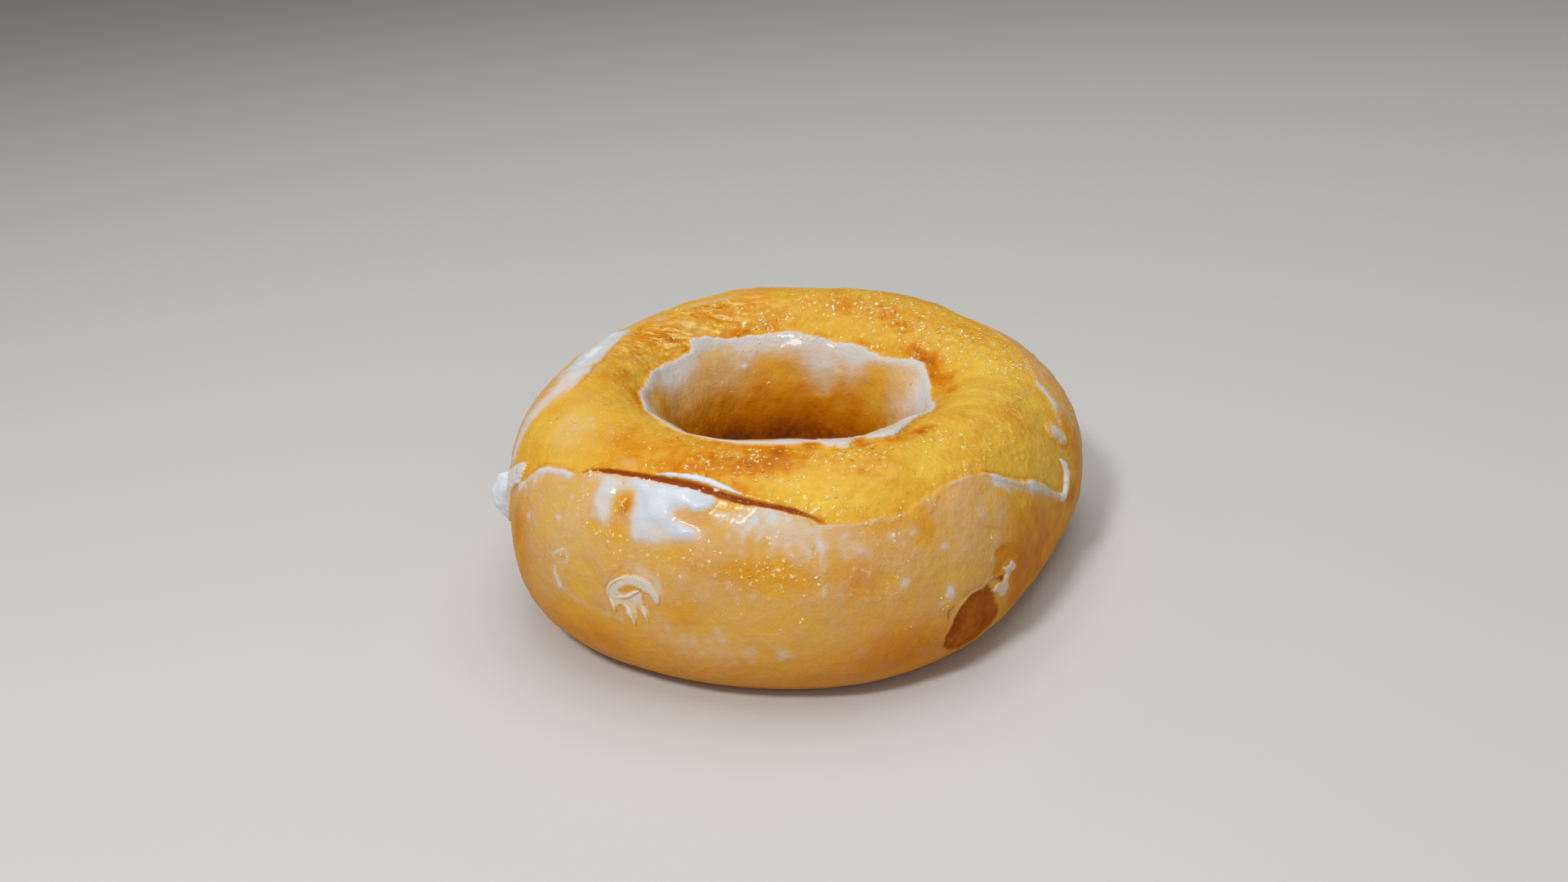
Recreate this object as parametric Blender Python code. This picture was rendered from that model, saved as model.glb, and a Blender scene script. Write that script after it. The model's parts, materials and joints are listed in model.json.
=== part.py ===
"""A glazed ring doughnut, about 97 mm across. Metres, +Z up, resting on its flat underside at z = 0.

The ring is a torus primitive whose points are moved to an uneven plan outline and a bun-shaped section.
A crack along the front shoulder is cut out of it, and the thick glaze that stands proud is joined to it.
A place on the ring is given by its turn round the hole, in degrees from +X towards +Y, and its roll round
the section, in degrees from the outside, over the top, to the hole.
"""

import math

import bmesh
import bpy
from mathutils import Matrix, Vector

MM = 0.001

# Driving dimensions of the ring
OUTER_RADIUS = 47.5 * MM
HOLE_RADIUS = 18.0 * MM
HEIGHT = 33.8 * MM

# Unevenness: waves round the ring, size, and the direction of the first crest in degrees
OUTLINE_WAVES = ((2, 2.0 * MM, 49), (3, 0.8 * MM, 25), (4, 1.4 * MM, 21))
HOLE_WAVES = ((1, 1.2 * MM, 168), (2, 0.4 * MM, -25))
HEIGHT_WAVES = ((1, 2.6 * MM, 164), (2, 1.1 * MM, 85), (3, 0.8 * MM, -54))

# The section: its widest level as a share of the height, and how square its two halves are
WIDEST_LEVEL = 0.42
UPPER_FULLNESS = 2.0
LOWER_FULLNESS = 2.6
BASE_CUT = 1.10

# The middle of the polar grid, from the middle of the bounding box
GRID_CENTRE = (-0.6 * MM, 0.57 * MM)

# Soft swells of the dough: waves round the ring, waves round the section, height, phase in degrees
SWELLS = ((5, 2, 0.30 * MM, 40), (8, 3, 0.22 * MM, 150), (13, 4, 0.14 * MM, 260))

RING_STEPS = 88
SECTION_STEPS = 40

# The crack between the top and the side, as (turn, roll)
CRACK_PATH = ((220, 54), (228, 59), (236, 62), (244, 61), (252, 59), (259, 56), (266, 52), (273, 46))
CRACK_WIDTH = 1.3 * MM

# Thick glaze that runs in a line: path as (turn, roll), half width, and how much of it is sunk
HOLE_LIP_PATH = ((44, 128), (26, 125), (10, 124), (354, 121), (338, 114), (322, 108), (307, 102), (293, 96), (280, 92))
HOLE_LIP_HALF = 1.5 * MM
SIDE_RIDGE_PATH = ((318, 35), (326, 26), (334, 14), (340, 4), (344, 4), (347, 10), (347, 18), (346, 25))
SIDE_RIDGE_HALF = 0.7 * MM

# The curl of glaze on the front: a horseshoe that opens downwards, and the prongs that hang in it.
# A prong is its start and its tip, each as (right, up) from the middle of the curl
CURL_CENTRE = (239.5, 9)
CURL_RADIUS = 2.8 * MM
CURL_HALF = 0.85 * MM
CURL_OPENING = 110
CURL_PRONGS = (
    ((-1.4 * MM, 0.2 * MM), (0.0 * MM, -4.1 * MM)),
    ((0.9 * MM, 0.0 * MM), (1.9 * MM, -3.7 * MM)),
)
PRONG_HALF = 0.6 * MM

# Thick glaze in pads: turn, roll, half length down the section, half length round the ring, height, slant
DRIP_PADS = ((198, 18, 3.8 * MM, 2.1 * MM, 1.8 * MM, 0), (202, 34, 3.0 * MM, 1.9 * MM, 1.0 * MM, -35))
POOL_PADS = (
    (230, 45, 3.8 * MM, 1.4 * MM, 0.7 * MM, -8),
    (242, 45, 4.4 * MM, 3.2 * MM, 0.9 * MM, 5),
    (247, 55, 1.7 * MM, 4.6 * MM, 0.8 * MM, 8),
)
SIDE_DROP_PADS = ((347, 34, 2.6 * MM, 1.5 * MM, 0.7 * MM, 10),)


def waves(turn, terms):
    """The sum of the waves at a turn in radians."""
    return sum(size * math.cos(count * (turn - math.radians(crest))) for count, size, crest in terms)


def swell(turn, roll, level):
    """How far the dough stands out at a turn and roll in radians. It dies out towards the base."""
    share = min(1.0, level / (8 * MM))
    return share * sum(
        height * math.sin(around * turn + math.radians(phase)) * math.cos(over * roll)
        for around, over, height, phase in SWELLS
    )


def ring_point(turn, roll):
    """The place on the ring at a turn and roll in degrees."""
    turn, roll = math.radians(turn), math.radians(roll)
    outer = OUTER_RADIUS + waves(turn, OUTLINE_WAVES)
    hole = HOLE_RADIUS + waves(turn, HOLE_WAVES)
    height = HEIGHT + waves(turn, HEIGHT_WAVES)
    widest = WIDEST_LEVEL * height
    across, up = math.cos(roll), math.sin(roll)
    power = UPPER_FULLNESS if up > 0 else LOWER_FULLNESS
    size = (abs(across) ** power + abs(up) ** power) ** (1 / power)
    radius = (outer + hole) / 2 + (outer - hole) / 2 * across / size
    rise = (height - widest) if up > 0 else widest * BASE_CUT
    level = max(0.0, widest + rise * up / size)
    out = swell(turn, roll, level)
    radius += out * across
    level = max(0.0, level + out * up)
    x = GRID_CENTRE[0] + radius * math.cos(turn)
    y = GRID_CENTRE[1] + radius * math.sin(turn)
    return Vector((x, y, level))


def surface_axes(turn, roll):
    """Unit vectors on the ring: round the hole, up over the section, and straight out of the dough."""
    step = 1.0
    around = (ring_point(turn + step, roll) - ring_point(turn - step, roll)).normalized()
    over = (ring_point(turn, roll + step) - ring_point(turn, roll - step)).normalized()
    out = around.cross(over).normalized()
    over = out.cross(around)
    return around, over, out


def smooth_path(points, count):
    """Evenly numbered places on a Catmull-Rom curve through (turn, roll) points. Turns run on past 360."""
    turns = [points[0][0]]
    for turn, _ in points[1:]:
        turns.append(turn + 360 * round((turns[-1] - turn) / 360))
    knots = [Vector((turn, roll)) for turn, (_, roll) in zip(turns, points)]
    knots = [2 * knots[0] - knots[1], *knots, 2 * knots[-1] - knots[-2]]
    places = []
    for index in range(count):
        along = index / (count - 1) * (len(knots) - 3)
        start = min(int(along), len(knots) - 4)
        t = along - start
        a, b, c, d = knots[start : start + 4]
        place = b + 0.5 * t * (c - a + t * (2 * a - 5 * b + 4 * c - d + t * (3 * (b - c) + d - a)))
        places.append((place.x, place.y))
    return places


def remove_everything():
    for obj in list(bpy.data.objects):
        bpy.data.objects.remove(obj)


def new_collection(name):
    collection = bpy.data.collections.new(name)
    bpy.context.scene.collection.children.link(collection)
    return collection


def move_to(collection, obj):
    for other in list(obj.users_collection):
        other.objects.unlink(obj)
    collection.objects.link(obj)


def glazed_dough():
    material = bpy.data.materials.new("glazed dough")
    material.use_nodes = True
    shader = material.node_tree.nodes["Principled BSDF"]
    shader.inputs["Base Color"].default_value = (0.66, 0.37, 0.09, 1)
    shader.inputs["Roughness"].default_value = 0.3
    shader.inputs["Metallic"].default_value = 0
    return material


def make_ring():
    tube = (OUTER_RADIUS - HOLE_RADIUS) / 2
    middle = OUTER_RADIUS - tube
    bpy.ops.mesh.primitive_torus_add(
        major_segments=RING_STEPS,
        minor_segments=SECTION_STEPS,
        major_radius=middle,
        minor_radius=tube,
        location=(0, 0, 0),
    )
    ring = bpy.context.object
    for vertex in ring.data.vertices:
        x, y, z = vertex.co
        turn = math.degrees(math.atan2(y, x))
        roll = math.degrees(math.atan2(z, math.hypot(x, y) - middle))
        vertex.co = ring_point(turn, roll)
    ring.name = "doughnut"
    return ring


def make_bead(name, places, half, lift, ends):
    """A round bead of glaze through places in space with an outward direction, thinner at its ends."""
    curve = bpy.data.curves.new(name, "CURVE")
    curve.dimensions = "3D"
    curve.bevel_depth = half
    curve.bevel_resolution = 2
    curve.use_fill_caps = True
    spline = curve.splines.new("POLY")
    spline.points.add(len(places) - 1)
    for index, (place, out) in enumerate(places):
        share = index / (len(places) - 1)
        taper = min(1.0, ends + (1 - ends) * 5 * min(share, 1 - share))
        spline.points[index].co = (*(place + out * lift), 1)
        spline.points[index].radius = taper
    guide = bpy.data.objects.new(name, curve)
    bpy.context.scene.collection.objects.link(guide)
    graph = bpy.context.evaluated_depsgraph_get()
    mesh = bpy.data.meshes.new_from_object(guide.evaluated_get(graph))
    bead = bpy.data.objects.new(name + "_solid", mesh)
    bead.matrix_world = guide.matrix_world
    bpy.data.objects.remove(guide)
    shape = bmesh.new()
    shape.from_mesh(mesh)
    bmesh.ops.remove_doubles(shape, verts=shape.verts, dist=0.01 * MM)
    bmesh.ops.recalc_face_normals(shape, faces=shape.faces)
    shape.to_mesh(mesh)
    shape.free()
    return bead


def bead_on_ring(name, path, half, lift, ends=0.35, spacing=2.0 * MM):
    """A bead along a path of (turn, roll) on the ring."""
    rough = [ring_point(*place) for place in smooth_path(path, 40)]
    length = sum((b - a).length for a, b in zip(rough, rough[1:]))
    places = smooth_path(path, max(4, round(length / spacing)))
    return make_bead(name, [(ring_point(*p), surface_axes(*p)[2]) for p in places], half, lift, ends)


def pad_on_ring(name, turn, roll, down, around, height, slant):
    """A rounded pad of glaze, half sunk in the dough. Its long way runs down the section, turned by slant."""
    bpy.ops.mesh.primitive_uv_sphere_add(segments=18, ring_count=10, radius=1, location=(0, 0, 0))
    pad = bpy.context.object
    pad.name = name
    across_axis, over_axis, out_axis = surface_axes(turn, roll)
    turned = Matrix.Rotation(math.radians(slant), 3, "Z") @ Matrix.Diagonal((around, down, height))
    axes = Matrix((across_axis, over_axis, out_axis)).transposed()
    pad.data.transform((axes @ turned).to_4x4())
    pad.data.transform(Matrix.Translation(ring_point(turn, roll) + out_axis * 0.1 * height))
    return pad


def curl_beads():
    """The horseshoe of the curl, and its prongs."""
    around, over, out = surface_axes(*CURL_CENTRE)
    centre = ring_point(*CURL_CENTRE)
    arc = []
    steps = 13
    for index in range(steps):
        angle = math.radians(CURL_OPENING / 2 - 90 + (360 - CURL_OPENING) * index / (steps - 1))
        arc.append((centre + CURL_RADIUS * (around * math.cos(angle) + over * math.sin(angle)), out))
    beads = [make_bead("curl", arc, CURL_HALF, 0, 0.5)]
    for index, ends in enumerate(CURL_PRONGS):
        start, tip = (centre + around * right + over * up for right, up in ends)
        prong = [(start.lerp(tip, share), out) for share in (0, 0.35, 0.7, 1)]
        beads.append(make_bead(f"prong_{index}", prong, PRONG_HALF, 0, 0.3))
    return beads


def thick_glaze():
    """Every raised piece of glaze, as closed solids that dip into the dough."""
    pieces = [
        bead_on_ring("hole_lip", HOLE_LIP_PATH, HOLE_LIP_HALF, -0.55 * HOLE_LIP_HALF),
        bead_on_ring("side_ridge", SIDE_RIDGE_PATH, SIDE_RIDGE_HALF, -0.2 * SIDE_RIDGE_HALF),
    ]
    for pads, name in ((DRIP_PADS, "drip"), (POOL_PADS, "pool"), (SIDE_DROP_PADS, "side_drop")):
        pieces += [pad_on_ring(f"{name}_{index}", *pad) for index, pad in enumerate(pads)]
    return pieces + curl_beads()


def apply_boolean(obj, operation, collection):
    """Joins or cuts a collection, applies the result, and removes what was used."""
    modifier = obj.modifiers.new(operation, "BOOLEAN")
    modifier.operation = operation
    modifier.operand_type = "COLLECTION"
    modifier.collection = collection
    modifier.solver = "EXACT"
    graph = bpy.context.evaluated_depsgraph_get()
    mesh = bpy.data.meshes.new_from_object(obj.evaluated_get(graph))
    obj.modifiers.clear()
    obj.data = mesh
    for used in list(collection.objects):
        bpy.data.objects.remove(used)
    bpy.data.collections.remove(collection)


def centre_on_base(obj):
    """Moves the mesh so that the middle of its box is on the Z axis and its underside at z = 0."""
    low = [min(vertex.co[axis] for vertex in obj.data.vertices) for axis in range(3)]
    high = [max(vertex.co[axis] for vertex in obj.data.vertices) for axis in range(3)]
    move = Vector((-(low[0] + high[0]) / 2, -(low[1] + high[1]) / 2, -low[2]))
    obj.data.transform(Matrix.Translation(move))


def main():
    remove_everything()
    model = new_collection("glazed ring doughnut")
    ring = make_ring()
    move_to(model, ring)

    glaze = new_collection("glaze to join")
    for piece in thick_glaze():
        move_to(glaze, piece)
    apply_boolean(ring, "UNION", glaze)

    cutters = new_collection("crack to cut")
    crack = bead_on_ring("crack", CRACK_PATH, CRACK_WIDTH / 2, 0.15 * CRACK_WIDTH, ends=0.2, spacing=2.4 * MM)
    move_to(cutters, crack)
    apply_boolean(ring, "DIFFERENCE", cutters)

    centre_on_base(ring)
    ring.data.materials.clear()
    ring.data.materials.append(glazed_dough())
    ring.data.shade_smooth()


main()
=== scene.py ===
"""A glazed ring doughnut on a pale floor: fried dough under a clear sugar film, with thick white glaze.

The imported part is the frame. Its one node is replaced by the dough and by the glaze that lies on it.
A place on the ring is given by its turn round the hole, in degrees from +X towards +Y, and its roll round
the section, in degrees from the outside (0), over the top (90), to the hole (180) and the underside (270).
Lengths are metres; MM turns millimetres into them.
"""

import json
import math

import bpy
import numpy as np
from mathutils import Matrix, Vector

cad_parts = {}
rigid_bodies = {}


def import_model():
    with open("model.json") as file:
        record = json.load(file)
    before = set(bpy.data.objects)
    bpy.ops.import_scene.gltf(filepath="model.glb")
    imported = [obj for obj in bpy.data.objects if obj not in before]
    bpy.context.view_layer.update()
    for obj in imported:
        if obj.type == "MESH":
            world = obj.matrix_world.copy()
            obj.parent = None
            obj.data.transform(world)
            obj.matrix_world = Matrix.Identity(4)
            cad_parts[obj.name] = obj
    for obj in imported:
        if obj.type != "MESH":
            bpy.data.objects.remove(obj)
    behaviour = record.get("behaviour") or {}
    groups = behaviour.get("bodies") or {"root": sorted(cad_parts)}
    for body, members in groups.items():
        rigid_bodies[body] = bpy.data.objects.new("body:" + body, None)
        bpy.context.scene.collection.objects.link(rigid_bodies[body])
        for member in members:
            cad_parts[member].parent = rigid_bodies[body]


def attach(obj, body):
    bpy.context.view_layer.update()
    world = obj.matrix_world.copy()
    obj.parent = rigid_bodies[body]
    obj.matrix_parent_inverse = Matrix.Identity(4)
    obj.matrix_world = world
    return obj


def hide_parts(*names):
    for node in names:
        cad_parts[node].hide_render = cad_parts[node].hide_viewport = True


bl_info = {
    "name": "Glazed ring doughnut",
    "version": (1, 0, 0),
    "blender": (4, 5, 0),
    "location": "3D View > Sidebar > Doughnut",
    "description": "Builds a glazed ring doughnut and the stage that it is shown on",
    "category": "Add Mesh",
}

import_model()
MM = 0.001
NODE = "doughnut"
BODY = "root"

# The ring's form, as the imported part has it
OUTER_RADIUS = 47.5 * MM
HOLE_RADIUS = 18.0 * MM
HEIGHT = 33.8 * MM
OUTLINE_WAVES = ((2, 2.0 * MM, 49), (3, 0.8 * MM, 25), (4, 1.4 * MM, 21))
HOLE_WAVES = ((1, 1.2 * MM, 168), (2, 0.4 * MM, -25))
HEIGHT_WAVES = ((1, 2.6 * MM, 164), (2, 1.1 * MM, 85), (3, 0.8 * MM, -54))
WIDEST_LEVEL = 0.42
UPPER_FULLNESS = 2.0
LOWER_FULLNESS = 2.6
BASE_CUT = 1.10
GRID_CENTRE = (-0.6 * MM, 0.57 * MM)
SWELLS = ((5, 2, 0.30 * MM, 40), (8, 3, 0.22 * MM, 150), (13, 4, 0.14 * MM, 260))
# One degree of roll on the upper side of the ring, as a length
ROLL_LENGTH = 0.30 * MM
# The middle of the ring, about half way up
RING_MIDDLE = (*GRID_CENTRE, 18 * MM)
# Streaks in the glaze run along X: noise is squeezed by this before it is read
STREAK_SHAPE = (0.26, 1.0, 1.0)
# Pieces of each curve between two of its points
CURVE_STEPS = 6
# Distances to a line are measured up to this
REACH = 5 * MM
# Waves that are summed for a smooth random field
WAVE_COUNT = 26
# Faces round a torus, before each is cut in four
RING_STEPS = 256

# Edges that run right round the ring, as (turn, roll): the hole's glaze, and the film on the outer side
HOLE_EDGE = (
    (0, 128), (6, 129), (13, 126), (17, 125), (21, 123), (25, 121.5), (30, 123.5), (35, 127.5), (40, 130),
    (45, 132), (60, 132), (70, 133), (80, 132), (85, 130), (90, 129), (100, 129.5), (106, 128.5),
    (112, 129), (116, 128), (120, 125.5), (125, 122), (129, 120.5), (133.5, 121), (135, 126), (137, 127.5),
    (145, 128), (150, 126.5), (160, 126), (170, 127), (180, 127.5), (186, 125), (197, 125), (210, 118.6),
    (225, 112), (240, 105), (250, 99), (253, 96), (260, 93.6), (269, 93.6), (271, 98), (275, 99), (276, 92),
    (280, 90.5), (283.5, 92), (284.5, 101), (287, 101), (288.5, 93), (292, 90), (294, 89.5), (297, 92),
    (300, 97), (305, 102), (310, 107), (325, 113), (340, 119), (352, 125),
)
FILM_EDGE = (
    (0, 60), (8, 64), (20, 65), (45, 66), (75, 68), (95, 72), (120, 78), (140, 82), (155, 92), (163, 95),
    (170, 97), (175, 98), (181, 96), (187, 93), (192, 87), (195, 81), (196.5, 70), (196.8, 50), (198, 38),
    (202, 36), (204, 31), (206, 34), (208, 40), (210, 45), (213, 49), (216, 51), (220, 51.5), (224, 56.5),
    (230, 59.5), (240, 60.8), (247, 60.5), (253, 57.5), (260, 55.5), (267, 51.5), (271, 47.5), (273, 44.5),
    (277, 43.5), (281.5, 44), (285, 43), (288, 44), (291, 46.5), (294, 48), (297, 50), (301, 50.8),
    (305, 50.4), (308, 48.5), (310, 47), (313, 43), (317, 38), (320, 33.5), (324, 30.5), (327, 28),
    (330.5, 22), (334, 16), (337.5, 10), (341, 3), (344, 2), (348, 6), (350, 20), (351.5, 36), (354, 43),
    (357, 51),
)

# The crack along the front shoulder
CRACK_PATH = (
    (220.5, 52), (224, 57), (228, 60), (232, 61.2), (237, 61.9), (244, 61.9), (250, 60.4), (255.5, 57.6),
    (260, 55.6), (265, 53.4), (268, 51.5), (271, 48), (273.4, 44.5),
)
# Its width along it, as (turn, share of its full width)
CRACK_WIDTHS = (
    (219, 0.2), (224, 0.45), (236, 0.75), (244, 1), (253, 1), (262, 0.65), (272, 0.5), (276, 0.3),
)

# Where the film is torn off and bare dough shows, and a bare golden spot above it
TORN_OUTLINE = (
    (292.8, -23), (293.6, -16), (294.8, -9.5), (296.6, -3), (299.4, -0.6), (302.6, -0.8), (304, -4),
    (305, -10), (305.8, -16), (307, -23), (307.6, -30), (306, -38), (302, -41), (297, -39), (293.6, -31),
)
GOLD_OUTLINE = (
    (304, 3), (305, 8.2), (304.9, 11.6), (306.6, 13.6), (308.6, 13), (310.6, 11.6), (312.4, 8), (313, 4.6),
    (312, 3), (310, 5), (308, 5), (306.4, 1), (305, 0.6),
)

# The layers of film: the area of the one on the front, and the rolls of the band in the hole
FRONT_OUTLINE = (
    (205, -20), (205, 20), (206.5, 36), (210, 53), (218, 60), (228, 68), (240, 73), (251, 73), (260, 67),
    (267, 62), (275, 57), (284, 56), (292, 58), (302, 62), (311, 60), (320, 51), (331, 41), (341, 28),
    (346, 10), (344, -8), (332, -30), (304, -46), (262, -44), (225, -36),
)
HOLE_BAND = (84, 206)

# Thick glaze, each as the outline of the area that it covers
LEG_OUTLINE = (
    (228.3, 56), (228, 51), (228.2, 45), (229.4, 39.5), (230.8, 35), (231.9, 32.5), (232.2, 39), (232, 45),
    (231.8, 50), (232, 55), (230.4, 57.5),
)
POOL_OUTLINE = (
    (234.6, 58), (235.2, 54.5), (236.6, 51.5), (237, 46), (237.2, 39), (238, 34), (241, 32), (244.5, 33),
    (248, 36), (250, 39.5), (248, 42), (245.4, 44), (245, 48), (247, 50), (250, 49.3), (252.4, 51.5),
    (253.4, 55), (251, 58), (247, 60), (241, 60.2), (237, 59.8),
)
CRESCENT_OUTLINE = (
    (238.4, 63.7), (241, 66.2), (245, 67.4), (249, 67.6), (252.6, 65.6), (255.4, 62.8), (259, 58.2),
    (256, 59.6), (252.5, 61.6), (249, 63.2), (244, 64),
)
LEDGE_OUTLINE = (
    (309, 48.2), (313.3, 43.4), (317, 38.6), (320, 34), (324, 31), (327, 28.3), (330.4, 22.6), (334, 16.6),
    (337.4, 10.6), (339.5, 9), (339.8, 4), (337.4, 5), (334, 11), (330.3, 16.5), (326.8, 21.5),
    (323.3, 25.5), (319.6, 30.5), (313.3, 39), (309.6, 44),
)
FLAKE_OUTLINE = (
    (307, 3.4), (308.4, 2.6), (310.4, 3.4), (311, 0.4), (309.6, -2), (308.6, -5), (308.7, -9), (308, -12.8),
    (306.6, -13.2), (305.4, -9.6), (304.2, -6.4), (304.8, -3.6), (306.8, -3.8), (307.8, -0.4),
)
LIP_OUTLINE = (
    (359, 128.4), (352, 125), (345, 121), (330, 114), (318, 110), (310, 106.4), (305, 101.6), (300, 97),
    (297, 92), (294, 89.7), (291, 90.4), (288.6, 93.5), (288.6, 101), (291, 106), (300, 113), (318, 124),
    (336, 136), (346, 140), (352, 137), (356, 132.6),
)
LOBE_OUTLINE = (
    (274.6, 104), (275.6, 99), (276.8, 94), (278.4, 90), (280.4, 88), (282.4, 89), (283.4, 93.4),
    (285.2, 96.4), (286, 101), (284, 106), (279, 108), (275.4, 107),
)

# Soft oval patches of milky glaze, with a few painted glints among them: turn, roll, half sizes round the
# ring and over it in mm, slant, strength
SIDE_MILK_AND_GLINTS = (
    (226, 43, 2.4, 2.8, 0, 0.12), (214, 40, 5, 3, 0, 0.06), (233.4, 55.5, 1.4, 1.3, 0, 0.34),
    (226, 54, 2.6, 0.8, 24, 0.2), (250, 39, 2.6, 1.6, 0, 0.18), (247, 46, 2.4, 1.6, 0, 0.08),
    (267, 44, 6.4, 3, -14, 0.25), (262, 50, 4, 1.2, -14, 0.18), (257, 46, 3.4, 1.8, -10, 0.18),
    (254, 48, 0.9, 0.8, 0, 0.12), (272, 34, 0.6, 2.2, 0, 0.2), (277.2, 33, 1.7, 1.4, 0, 0.18),
    (333, 20, 9, 7, -30, 0.14), (284.5, 35, 0.5, 0.8, 20, 0.28), (288.3, 34, 0.7, 0.5, 0, 0.28),
    # The patch at turn 294, roll 25 is painted glints
    (285.3, 14.5, 0.9, 0.6, 30, 0.28), (272, 16, 0.5, 1, 0, 0.28), (294, 25, 0.9, 0.6, 0, 0.24),
    (302, 40, 8, 4, 0, 0.02), (300, 22, 4, 3, 0, 0.05), (293.8, 4.5, 0.9, 1.3, 10, 0.42),
    (292, 1, 0.5, 0.7, 0, 0.3), (254.5, -6, 1.4, 1.7, 0, 0.15), (259.2, -14, 1.1, 1.2, 0, 0.2),
    (264.6, -14, 1, 1.4, 0, 0.24), (252, -15, 5, 2.4, 0, 0.12), (246, -8, 4, 2, -10, 0.08),
    # The patch at turn 220.8, roll 30.5 is painted glints
    (212.2, 23, 0.7, 0.7, 0, 0.3), (220.8, 30.5, 1, 0.5, 0, 0.26), (241, 19, 2.2, 0.9, -20, 0.2),
    (243.4, 14, 0.8, 1.6, 0, 0.2), (224, 27, 5, 3, 0, 0.07), (352, 20, 2.4, 3, 0, 0.22),
    (357, 40, 2.6, 5, 0, 0.2), (280, 24, 3, 2.4, 0, 0.06), (310, 26, 2, 1.2, 0, 0.1),
    (324, 25, 2.8, 2.2, -35, 0.2), (306, 36, 3, 0.5, 20, 0.1), (266, 36, 4, 2.6, 0, 0.05),
    (28, 36, 5, 2.4, 10, 0.24), (52, 12, 7, 4, 0, 0.14), (76, 46, 6, 2.4, -8, 0.28),
    (98, 20, 3.4, 6, 0, 0.16), (117, 54, 5, 2, 8, 0.28), (136, 8, 6, 4, 0, 0.14), (158, 40, 5, 4, 0, 0.22),
    (182, 18, 3.6, 5, 0, 0.18), (170, 80, 8, 3, 0, 0.26), (150, 76, 6, 3, 0, 0.16),
)
SIDE_GOLD = (
    (235, 46, 1.5, 1.4, 0, 0.36), (233, 33, 3.2, 1.1, 0, 0.2), (262, 24, 6.4, 2.3, -4, 0.26),
    (250, 27, 3, 1.2, -10, 0.12), (248, 3, 2.8, 2.6, 0, 0.2), (291, 37, 1.6, 3.2, 0, 0.24),
    (284, 40, 3, 0.9, 0, 0.16), (278, 21, 3, 3, 0, 0.14), (255.5, 54, 2.6, 0.8, -14, 0.1),
    (325, 8, 9, 6.5, -30, 0.36), (338, -6, 6, 4, 0, 0.36), (313, -6, 3, 6, 0, 0.26),
    (318, 18, 5, 3, -30, 0.22), (208, 10, 3, 6, 0, 0.2), (228, -16, 8, 5, 0, 0.12),
    (284, -20, 9, 5, 0, 0.08), (270, 6, 8, 2.4, 0, 0.06), (238.2, 11.5, 1, 0.7, 0, 0.3),
    (351, 22, 5, 8, 0, 0.5), (343, 8, 4, 8, 0, 0.36), (322, -9, 8, 5, 0, 0.34), (338, 12, 5, 8, 0, 0.2),
    (42, 52, 4, 2, 0, 0.22), (66, 26, 5, 3, 0, 0.26), (88, 2, 7, 4, 0, 0.2), (108, 36, 4, 3, 0, 0.24),
    (128, 28, 5, 3, 0, 0.22), (146, 56, 5, 2.6, 0, 0.18), (170, 4, 6, 4, 0, 0.18),
)
TOP_MILK = (
    (231, 67, 1.9, 0.9, 0, 0.36), (253.4, 87, 0.9, 0.8, 0, 0.34), (211, 68, 6, 4.6, 0, 0.34),
    (204, 84, 7, 4, 0, 0.16), (224, 82, 7, 4, 0, 0.12), (150, 84, 5, 2.6, 0, 0.2),
    (346.5, 65, 1.8, 0.5, -10, 0.26), (353, 66, 3.4, 1.3, 0, 0.24), (342.6, 58, 1.5, 0.3, -20, 0.36),
    (8, 66, 5, 1.4, 0, 0.34), (30, 64, 5, 1, 0, 0.3), (115, 91, 10, 1.6, 0, 0.44),
    (129, 112, 3.6, 2.8, -30, 0.3), (134, 91, 2, 1.6, 0, 0.34), (97, 90, 2, 1, 0, 0.26),
    (306, 76, 3, 1.6, 0, 0.14), (316, 78, 4, 2, 0, 0.1), (60, 126, 8, 2, 0, 0.12), (82, 114, 8, 3, 0, 0.08),
    (202, 90, 6, 4, 0, 0.08), (166, 112, 3, 0.8, -20, 0.26), (180, 103, 3, 1.2, -20, 0.2),
    (275.4, 58.6, 1, 0.6, 0, 0.2), (278.5, 50, 1.6, 0.9, 0, 0.16), (271.6, 53, 1.2, 0.6, 0, 0.12),
)
HOLE_MILK_AND_GLINT = (
    (150, 136, 6, 1.8, 0, 0.24), (128, 126, 3.4, 1.6, 0, 0.22), (90, 136, 9, 1.4, 0, 0.14),
    (62, 136, 5, 1.4, 0, 0.14), (30, 152, 3, 2.2, 0, 0.1), (57, 146, 2.4, 3, 0, 0.08),
    (70, 155, 2.4, 3.6, 20, 0.14), (80, 152, 3, 3.2, 0, 0.18), (14, 140, 4, 4, 0, 0.14),
    (3, 137, 6, 3, 0, 0.12), (19, 152, 3.4, 4, 0, 0.12), (95, 146, 12, 3, 0, 0.06),
    # The small patch at turn 112.7, roll 145.6 is a painted highlight
    (50, 146, 7, 4, 0, 0.06), (120, 148, 6, 3.4, 0, 0.1), (112.7, 145.6, 0.5, 0.4, 0, 0.4),
    (146, 150, 5, 3, 0, 0.06), (162, 142, 7, 4, 0, 0.14),
)
HOLE_GOLD = (
    (44, 152, 3.6, 5, 0, 0.34), (43, 139, 2.4, 2, 0, 0.12), (62.6, 155, 1.4, 3.6, 0, 0.12),
    (95, 153, 4, 3.4, 0, 0.26), (106, 151, 4, 3.2, 0, 0.2), (174, 142, 1.6, 2.6, -20, 0.26),
    (172, 146, 9, 6, 0, 0.1), (140, 160, 5, 3, 0, 0.12),
)

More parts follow.
